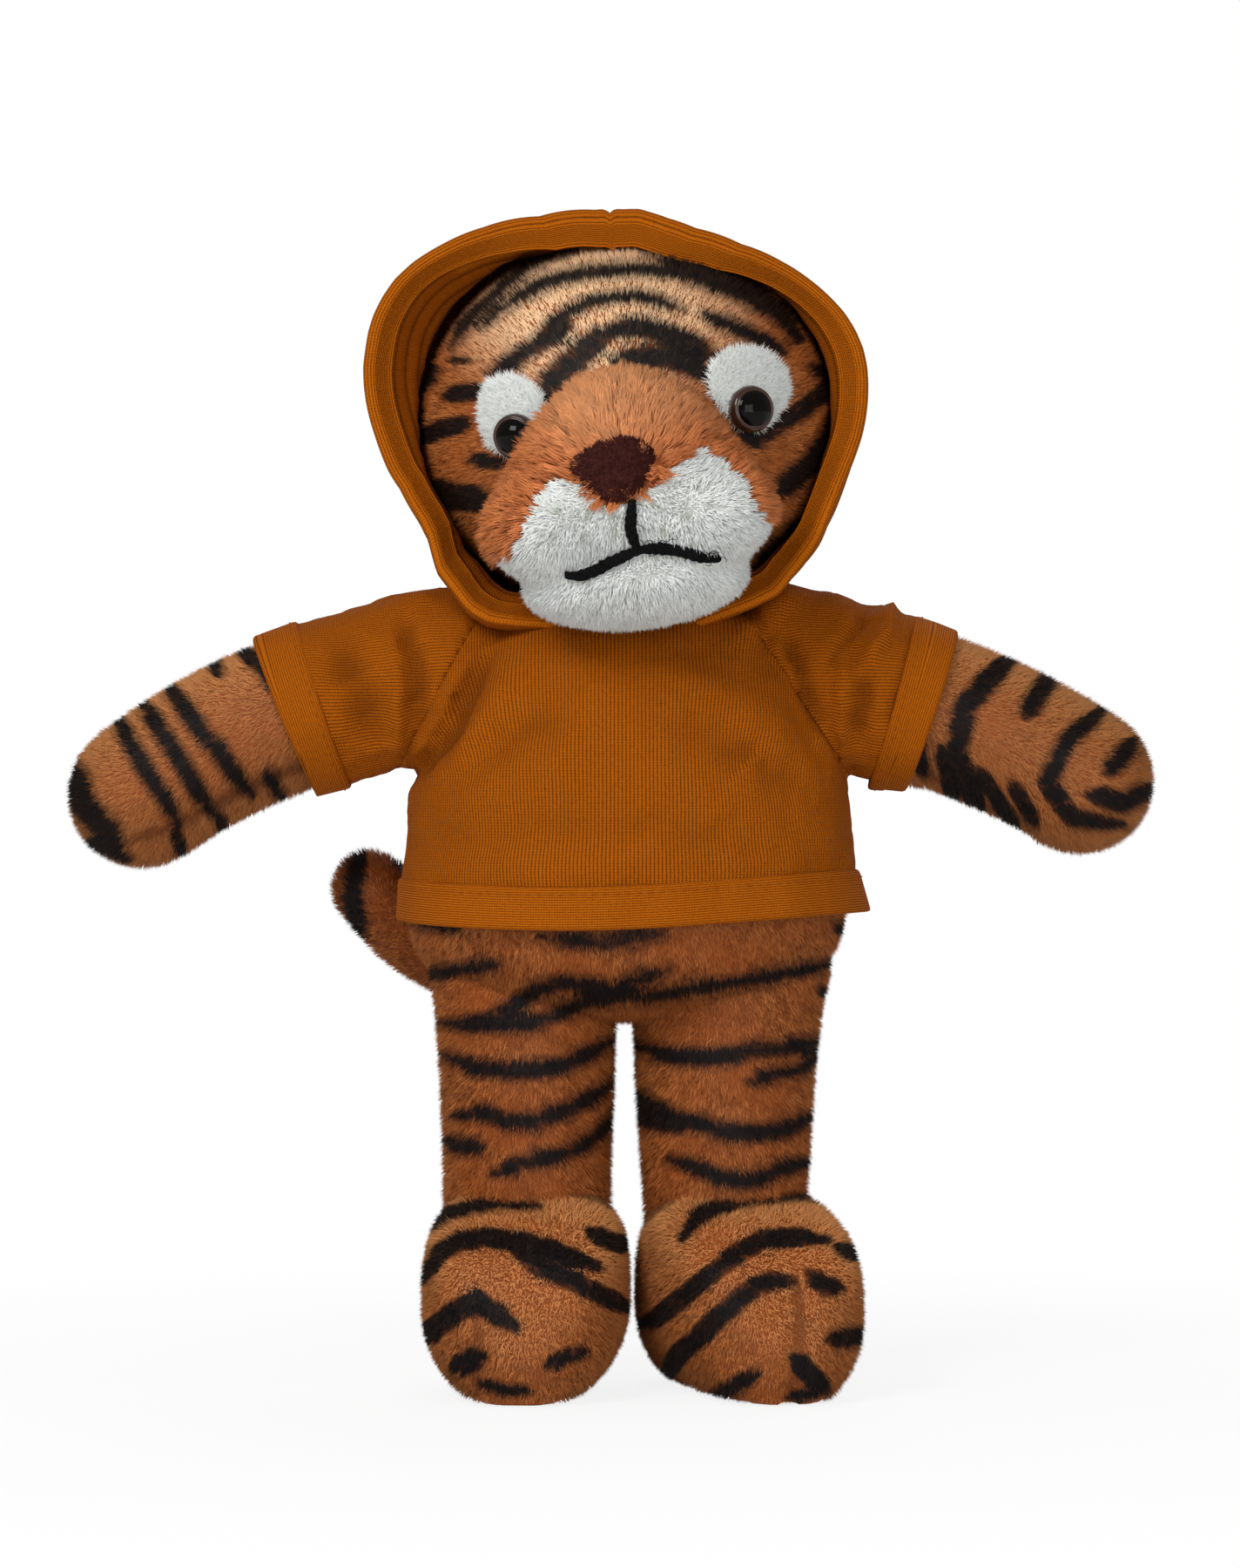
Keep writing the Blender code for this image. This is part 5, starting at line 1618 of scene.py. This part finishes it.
def stitchRow(name, places, outward, length=0.0020, every=0.0029, radius=0.00018):
    # Stitches along a row of points, each a short thread that dips at both ends
    closed = np.linalg.norm(places[0] - places[-1]) < 0.01
    path = np.vstack([places, places[:1]]) if closed else places
    ups = np.vstack([outward, outward[:1]]) if closed else outward
    along = distancesAlong(path)
    count = int(along[-1] / every)
    dip = np.array([-1.6, 0.3, 0.7, 0.3, -1.6])[:, None] * radius
    stitches = []
    for number in range(count):
        at = np.linspace(0, length, 5) + number * along[-1] / count
        spots, up = (
            np.stack([np.interp(at, along, column) for column in rows.T], axis=1) for rows in (path, ups)
        )
        stitches.append(spots + up * dip)
    thread = threads(name, stitches, radius, sides=6)
    wear(thread, materials["thread"])
    return thread


def foldedBand(node, stitches, rows, around, body, outwardOf):
    # A folded band of ribbed cloth, with a row of stitches, in the brighter copy of the knit that paints light on
    # it
    band = clothRing(f"{node}_cloth", rows, around, 0.022, turned=True)
    finishCloth(band, 0.0010)
    dressKnit(band, [node], body, "rib")
    course = np.array(rows[4])
    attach(stitchRow(stitches, course, unit(outwardOf(course))), body)


def outTo(middle, outward, least, start=0.09):
    # How far the shirt reaches from a point inside it, by a ray from outside
    hit = shirtTree.ray_cast(Vector(middle + outward * start), Vector(-outward))
    return max(least, start - hit[3]) if hit[0] is not None else least


# Sleeves and cuffs
cuff = {"width": 0.0112, "fold": 0.0009, "sides": 96, "least": 0.0012, "most": 0.0046, "end": 0.0014}
for name, arm in armSizes.items():
    sleeve, seam = sleeves[name], raglan[name]
    middle, way, radius = armFrame(name, arm["sleeve"] + 0.003)
    bisect(sleeve, middle, way)
    bisect(sleeve, (0, 0, sleeveTop), (0, 0, 1))
    spine = np.array(armSpine(name))
    armWay = unit(spine[4] - spine[0])

    def sleeveMap(points, root=spine[0], way=armWay):
        away = points - root
        return np.stack([acrossWales(np.arctan2(away[:, 1], away[:, 2]), sleeveWales), away @ way], axis=1)

    addClothMap(sleeve, sleeveMap, sleeveWales)
    finishCloth(sleeve)
    dressKnit(sleeve, [f"sleeve_{name}"], None)
    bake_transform(sleeve)

    # The cuff starts where the sleeve ends, and draws in toward the arm
    turns = np.linspace(0, 2 * math.pi, cuff["sides"], endpoint=False)
    top, topWay, topRadius = armFrame(name, arm["sleeve"] + 0.001)
    reach = np.array([
        min(outTo(top, fromArm(topWay, turn), topRadius + cuff["least"]), topRadius + cuff["most"]) - topRadius
        for turn in turns
    ])
    for shift in (1, 2, 4):
        reach = ringMean(reach, shift)
    rows = []
    for across, lift in foldProfile(cuff["width"], cuff["fold"]):
        middle, way, radius = armFrame(name, arm["sleeve"] + across)
        ring = []
        for turn, out in zip(turns, reach):
            wave = 0.0003 * math.sin(2 * turn + 0.8 + arm["side"])
            wave += 0.0002 * math.sin(5 * turn + 2.0 * arm["side"])
            out = out + (cuff["end"] - out) * across / cuff["width"]
            ring.append(middle + fromArm(way, turn) * (radius + out + lift + wave))
        rows.append(ring)
    foldedBand(
        f"cuff_{name}", f"cuff_{name}_stitches", rows, 0.16, f"arm_{name}",
        lambda course: course - course.mean(axis=0),
    )
print("sleeves and cuffs")


# Hem: a folded band that stands a little proud of the shirt
turns = np.linspace(0, 2 * math.pi, 200, endpoint=False)
axis = bodyMiddle + np.array((shirtAside, 0, hemTop))
hemReach = [outTo(axis, np.array((math.cos(turn), math.sin(turn), 0)), 0.040) for turn in turns]
rows = []
for down, lift in foldProfile(hem["width"], hem["fold"]):
    ring = []
    for turn, out in zip(turns, hemReach):
        sag = 0.0028 * abs(math.sin(turn)) ** 2 - 0.0010
        z = hemTop - down - sag + 0.0012 * math.cos(turn) - 0.0005 * math.sin(2 * turn + 0.5)
        side = max(0.0, math.cos(turn))
        flare = 0.0001 + (0.0006 + 0.0026 * side**2) * down / hem["width"] + 0.0004 * math.sin(7 * turn)
        out = out + flare + lift
        ring.append(bodyMiddle + np.array((shirtAside + out * math.cos(turn), out * math.sin(turn), z)))
    rows.append(ring)
foldedBand("hem_band", "hem_stitches", rows, 0.34, "torso", lambda course: (course - bodyMiddle) * (1, 1, 0))

# Neckline binding
neck = {"radius": 0.0285, "depthShare": 0.9, "height": 0.2028, "thickness": 0.0030}
neckline = [
    bodyMiddle + np.array((
        neck["radius"] * math.cos(turn), neck["depthShare"] * neck["radius"] * math.sin(turn), neck["height"],
    ))
    for turn in np.linspace(0, 2 * math.pi, 90, endpoint=False)
]
binding = threads("neckline_binding", [neckline], neck["thickness"], sides=16, closed=True)
addClothMap(binding, bodyMap, bodyWales)
dressKnit(binding, ["collar_band"], "torso")
print("hem and neckline")


# Hood
hood = {
    "middle": (712.4, 434.8), "height": 0.2641, "aside": 0.0015, "back": 0.0630, "edge": 0.0280,
    "depthShare": 1.5, "rim": 0.0130, "waist": 0.0040, "turned": 0.0105, "lining": 0.0071,
}
hoodShares = [
    (0.000, 0.00), (0.014, 0.280), (0.050, 0.510), (0.120, 0.755), (0.220, 0.920), (0.350, 1.00),
    (0.520, 1.00), (0.660, 1.000), (0.830, 0.86), (0.950, 0.45), (1.000, 0.00),
]
hoodOutline = [
    (497, 640), (503, 656), (521, 676), (540, 700), (560, 714), (618, 727), (692, 732), (754, 730), (812, 718),
    (843, 708), (867, 697), (893, 680), (906, 660), (922, 640), (939, 620), (951, 600), (962, 580), (971, 560),
    (979, 540), (986, 520), (992, 500), (996, 480), (998, 460), (998, 440), (996, 420), (991, 400), (982, 380),
    (969, 360), (950, 340), (926, 320), (895, 300), (851, 280), (800, 260), (768, 248), (746, 241), (735, 238),
    (715, 239), (683, 241), (620, 250), (557, 261), (505, 281), (473, 300), (451, 320), (437, 340), (427, 360),
    (421, 380), (418, 400), (416, 420), (417, 440), (420, 460), (425, 480), (432, 500), (440, 520), (449, 540),
    (461, 560), (470, 580), (481, 600), (491, 620),
]
hoodRows = smoothThrough([(s, w, 0) for s, w in hoodShares], (-0.05, -0.45, 0), (1.05, -0.45, 0), 300)
hoodDepth = hood["depthShare"] * (hood["back"] + hood["edge"])
hoodScale = photo["pixel"] * (photo["distance"] + bodyMiddle[1] - hood["edge"]) / photo["distance"]
hoodTurns, hoodReaches = polarOutline((np.array(hoodOutline) - hood["middle"]) * (hoodScale, -hoodScale))


def outlineReach(turn):
    return np.interp(turn, hoodTurns, hoodReaches, period=2 * math.pi)


def hoodPlaces(forward, turn, inward=0.0):
    # A point of the hood: its ring stands forward of the hood's back, and its turn runs round the opening
    share = np.interp(forward / hoodDepth, hoodRows[:, 0], hoodRows[:, 1])
    reach = outlineReach(turn) * share - inward * np.minimum(1, 30 * share)
    x = -hood["aside"] + reach * np.cos(turn)
    z = hood["height"] + reach * np.sin(turn)
    return np.stack([x, hood["back"] - forward + 0 * x, z], axis=-1) + bodyMiddle


def hoodCreases(forward, turn):
    # A dip along the crown seam and soft creases low on both sides
    crown = 0.0010 * np.exp(-(((turn - 1.635) / 0.020) ** 2))
    low = smoothStep(-0.1, -0.9, np.sin(turn))
    crease = 0.0010 * low * np.sin(9 * turn + 60 * forward) + 0.0005 * np.sin(4 * turn + 90 * forward + 1.0)
    return crown + crease


def toHead(forward, turns, start=0.1):
    # How far a place on the hood's outline is from what the hood holds
    middle = hoodPlaces(forward, np.zeros(1))[0] * (0, 1, 0) + (bodyMiddle[0] - hood["aside"], 0, hood["height"])
    room = []
    for turn in turns:
        out = np.array((math.cos(turn), 0, math.sin(turn)))
        hits = [tree.ray_cast(Vector(middle + start * out), Vector(-out)) for tree in (headTree, muzzleTree)]
        room.append(outlineReach(turn) - max([start - hit[3] for hit in hits if hit[0] is not None] + [0.02]))
    return np.array(room)


def rimFacing(turns):
    # The rim's inner side faces forward, most of all at the top, where it is also wider
    top = smoothStep(0.35, 0.95, np.sin(turns))
    return 0.62 - 0.27 * top, 1 + 0.30 * top


def hoodCloth(name, profile, sides, lining=()):
    turns = np.linspace(-math.pi / 2, 1.5 * math.pi, sides, endpoint=False)
    squeeze, widen = rimFacing(turns) if lining else (1.0, 1.0)
    resting = 1 - 0.9 * smoothStep(-0.35, -0.70, np.sin(turns))
    rows, tip = [], int(np.argmax([forward for forward, _ in profile]))
    for index, (forward, inward) in enumerate(profile):
        if index < tip or not lining:
            inward = inward * resting
        if index > tip:
            forward, inward = profile[tip][0] - (profile[tip][0] - forward) * squeeze, inward * widen
        rows.append(hoodPlaces(forward, turns, inward + hoodCreases(forward, turns)))
    for forward, inward in lining:
        forward = forward + hood["turned"] * (1 - squeeze)
        room = toHead(float(np.mean(forward)), turns)
        for shift in (1, 2, 3, 5):
            room = np.minimum(room, ringMean(room, shift))
        inward = np.clip(np.minimum(inward, room - 0.0028), profile[-1][1] * widen, None)
        rows.append(hoodPlaces(forward, turns, inward + hoodCreases(forward, turns)))
    length = np.linalg.norm(np.diff(np.array(profile), axis=0), axis=1).sum()
    return clothRing(name, rows, 0.38, length * 1.2, turned=bool(lining))


# The hood narrows to a waist behind its rim, and the rim flares to the front edge
front = hood["back"] + hood["edge"]
waistAt = front - hood["rim"]
backRows = (1 - np.cos(np.linspace(0.06, math.pi / 2, 64))) * waistAt
shellProfile = [(0.0, 0.0)]
shellProfile += [(forward, hood["waist"] * smoothStep(waistAt - 0.035, waistAt, forward)) for forward in backRows]
rimProfile = [
    (waistAt - 0.0015, hood["waist"] + 0.0004), (waistAt - 0.0005, hood["waist"] - 0.0009),
    (waistAt + 0.0020, hood["waist"] - 0.0015), (waistAt + 0.0060, 0.0012), (front - 0.0030, 0.0002),
    (front - 0.0012, 0.0000), (front - 0.0002, 0.0006), (front, 0.0017), (front - 0.0006, 0.0029),
    (front - 0.0020, 0.0037), (front - 0.0050, 0.0052), (front - 0.0078, 0.0067), (front - 0.0088, 0.0077),
    (front - 0.0094, 0.0069), (front - hood["turned"], 0.0070),
]
rimProfile = smoothThrough(
    [(*place, 0) for place in rimProfile], (waistAt - 0.003, hood["waist"], 0),
    (front - 0.012, hood["lining"], 0), 60,
)[:, :2]
shell = hoodCloth("hood_cloth", shellProfile, 240)
liningProfile = [
    (front - hood["turned"] - 0.0025 * step, hood["lining"] + 0.0010 * step + 0.00012 * step**2)
    for step in range(1, 11)
]
rim = hoodCloth("hood_rim_cloth", rimProfile, 300, lining=liningProfile)


def insideShirt(points, depth):
    # Whether the points are well inside the shirt or the neck
    local = points - bodyMiddle
    inNeck = (local[:, 0] / 0.0300) ** 2 + (local[:, 1] / 0.0280) ** 2 < 1
    inside = inNeck & (points[:, 2] < 0.24)
    for index, point in enumerate(points):
        if point[2] > 0.222:
            continue
        place, normal, _, _ = shirtTree.find_nearest(Vector(point))
        inside[index] |= (Vector(point) - place).dot(normal) < -depth
    return inside


def atHoodFold(cloth):
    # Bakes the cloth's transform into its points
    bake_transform(cloth)


for cloth in (shell, rim):
    deleteVertices(cloth, insideShirt(placesOf(cloth), 0.0030))
    if cloth is shell:
        finishCloth(cloth, 0.0014)
    else:
        shadeSmooth(cloth)
    places = np.array([face.center for face in cloth.data.polygons])
    facing = np.array([face.normal for face in cloth.data.polygons])
    inner = (facing * (headMiddle - places)).sum(axis=1) > 0
    if cloth is rim:
        inner &= places[:, 1] > bodyMiddle[1] + hood["back"] - front + 0.0095
    # The rim wears the knit's brighter copy, painted light
    wear(cloth, materials["rib" if cloth is rim else "knit"], materials["knitInside"], second=inner)
    dress(cloth, ["hood_rim"] if cloth is rim else ["hood_panel_left", "hood_panel_right"])
    atHoodFold(cloth)
turns = np.linspace(-0.95, math.pi + 0.95, 300)
squeeze, widen = rimFacing(turns)
innerCourse = hoodPlaces(
    front - 0.0078 * squeeze, turns, 0.0061 * widen + hoodCreases(front - 0.0078, turns),
)
outerCourse = hoodPlaces(waistAt + 0.0012, turns, hood["waist"] - 0.0019 + hoodCreases(waistAt, turns))
for label, places, side in (("inner", innerCourse, -1), ("outer", outerCourse, 1)):
    atHoodFold(stitchRow(f"hood_stitches_{label}", places, unit((places - headMiddle) * (1, 0, 1)) * side))
print("hood")


# Floor, backdrop, light and camera

def seenBy(tree, *rays):
    # 1 for the camera's rays and these kinds of ray, 0 for the others
    path = addNode(tree, "ShaderNodeLightPath").outputs
    seen = path["Is Camera Ray"]
    for ray in rays:
        seen = maths(tree, "ADD", seen, path[f"Is {ray} Ray"], clamp=True)
    return seen


# How white the floor shows under the object, and between which distances it fades to plain white
floorLook = {"white": 0.86, "near": 0.08, "far": 0.45}


def whiteToCamera(name, colour):
    # The surface shows white to the camera and keeps part of the shadow on it
    material, tree, shader = newMaterial(name)
    feed(tree, shader, [("Base Color", (*colour, 1)), *surfaceLook(0.9, 0.1)])
    glow = addNode(tree, "ShaderNodeEmission", [("Color", (1.0, 1.0, 1.0, 1.0)), ("Strength", 1.0)])
    seen = seenBy(tree, "Glossy", "Transmission")
    away = addNode(tree, "ShaderNodeVectorMath", [(0, objectPlace(tree))], operation="LENGTH").outputs["Value"]
    fade = addNode(
        tree, "ShaderNodeMapRange",
        [("Value", away), ("From Min", floorLook["near"]), ("From Max", floorLook["far"]),
         ("To Min", floorLook["white"]), ("To Max", 1.0)],
        interpolation_type="SMOOTHSTEP",
    )
    share = maths(tree, "MULTIPLY", seen, fade.outputs["Result"])
    mixed = [(0, share), (1, shader.outputs["BSDF"]), (2, glow.outputs["Emission"])]
    mix = addNode(tree, "ShaderNodeMixShader", mixed)
    tree.links.new(mix.outputs["Shader"], tree.nodes["Material Output"].inputs["Surface"])
    return material


deselectAll()
bpy.ops.mesh.primitive_plane_add(size=8, location=(0, 0, -0.0004))
floor = bpy.context.object
floor.name = "floor"
wear(floor, whiteToCamera("pale_floor", (0.90, 0.90, 0.90)))

world = bpy.data.worlds.new("studio")
bpy.context.scene.world = world
world.use_nodes = True
tree = world.node_tree
# The backdrop is white to the camera and lights the object at this strength
lit = 0.34
strength = maths(tree, "MULTIPLY_ADD", seenBy(tree, "Transmission"), 1 - lit, lit)
feed(tree, tree.nodes["Background"], [("Color", (1.0, 1.0, 1.0, 1.0)), ("Strength", strength)])

for name, place, aim, size, power in (
    ("key_light", (-0.55, -0.95, 0.85), (0, 0, 0.17), (0.55, 0.45), 10.0),
    ("fill_light", (0.35, -1.30, 0.22), (0, 0, 0.17), (0.9, 0.9), 9.0),
    ("back_light", (0.2, 0.9, 0.8), (0, 0, 0.2), (0.8, 0.5), 4.0),
):
    light = bpy.data.lights.new(name, "AREA")
    light.shape = "RECTANGLE"
    light.size, light.size_y = size
    light.energy = power
    lamp = link(name, light)
    lamp.location = place
    lamp.rotation_euler = (Vector(aim) - Vector(place)).to_track_quat("-Z", "Y").to_euler()

camera = bpy.data.cameras.new("photo_view")
camera.sensor_fit = "VERTICAL"
camera.sensor_width = camera.sensor_height = photo["sensor"]
camera.lens = photo["sensor"] * photo["distance"] / (photo["height"] * photo["pixel"])
view = link("photo_view", camera)
view.location = (photo["aim"][0], -photo["distance"], photo["aim"][1])
view.rotation_euler = (math.radians(90), 0, 0)
bpy.context.scene.camera = view
bpy.context.scene.view_settings.view_transform = "Standard"
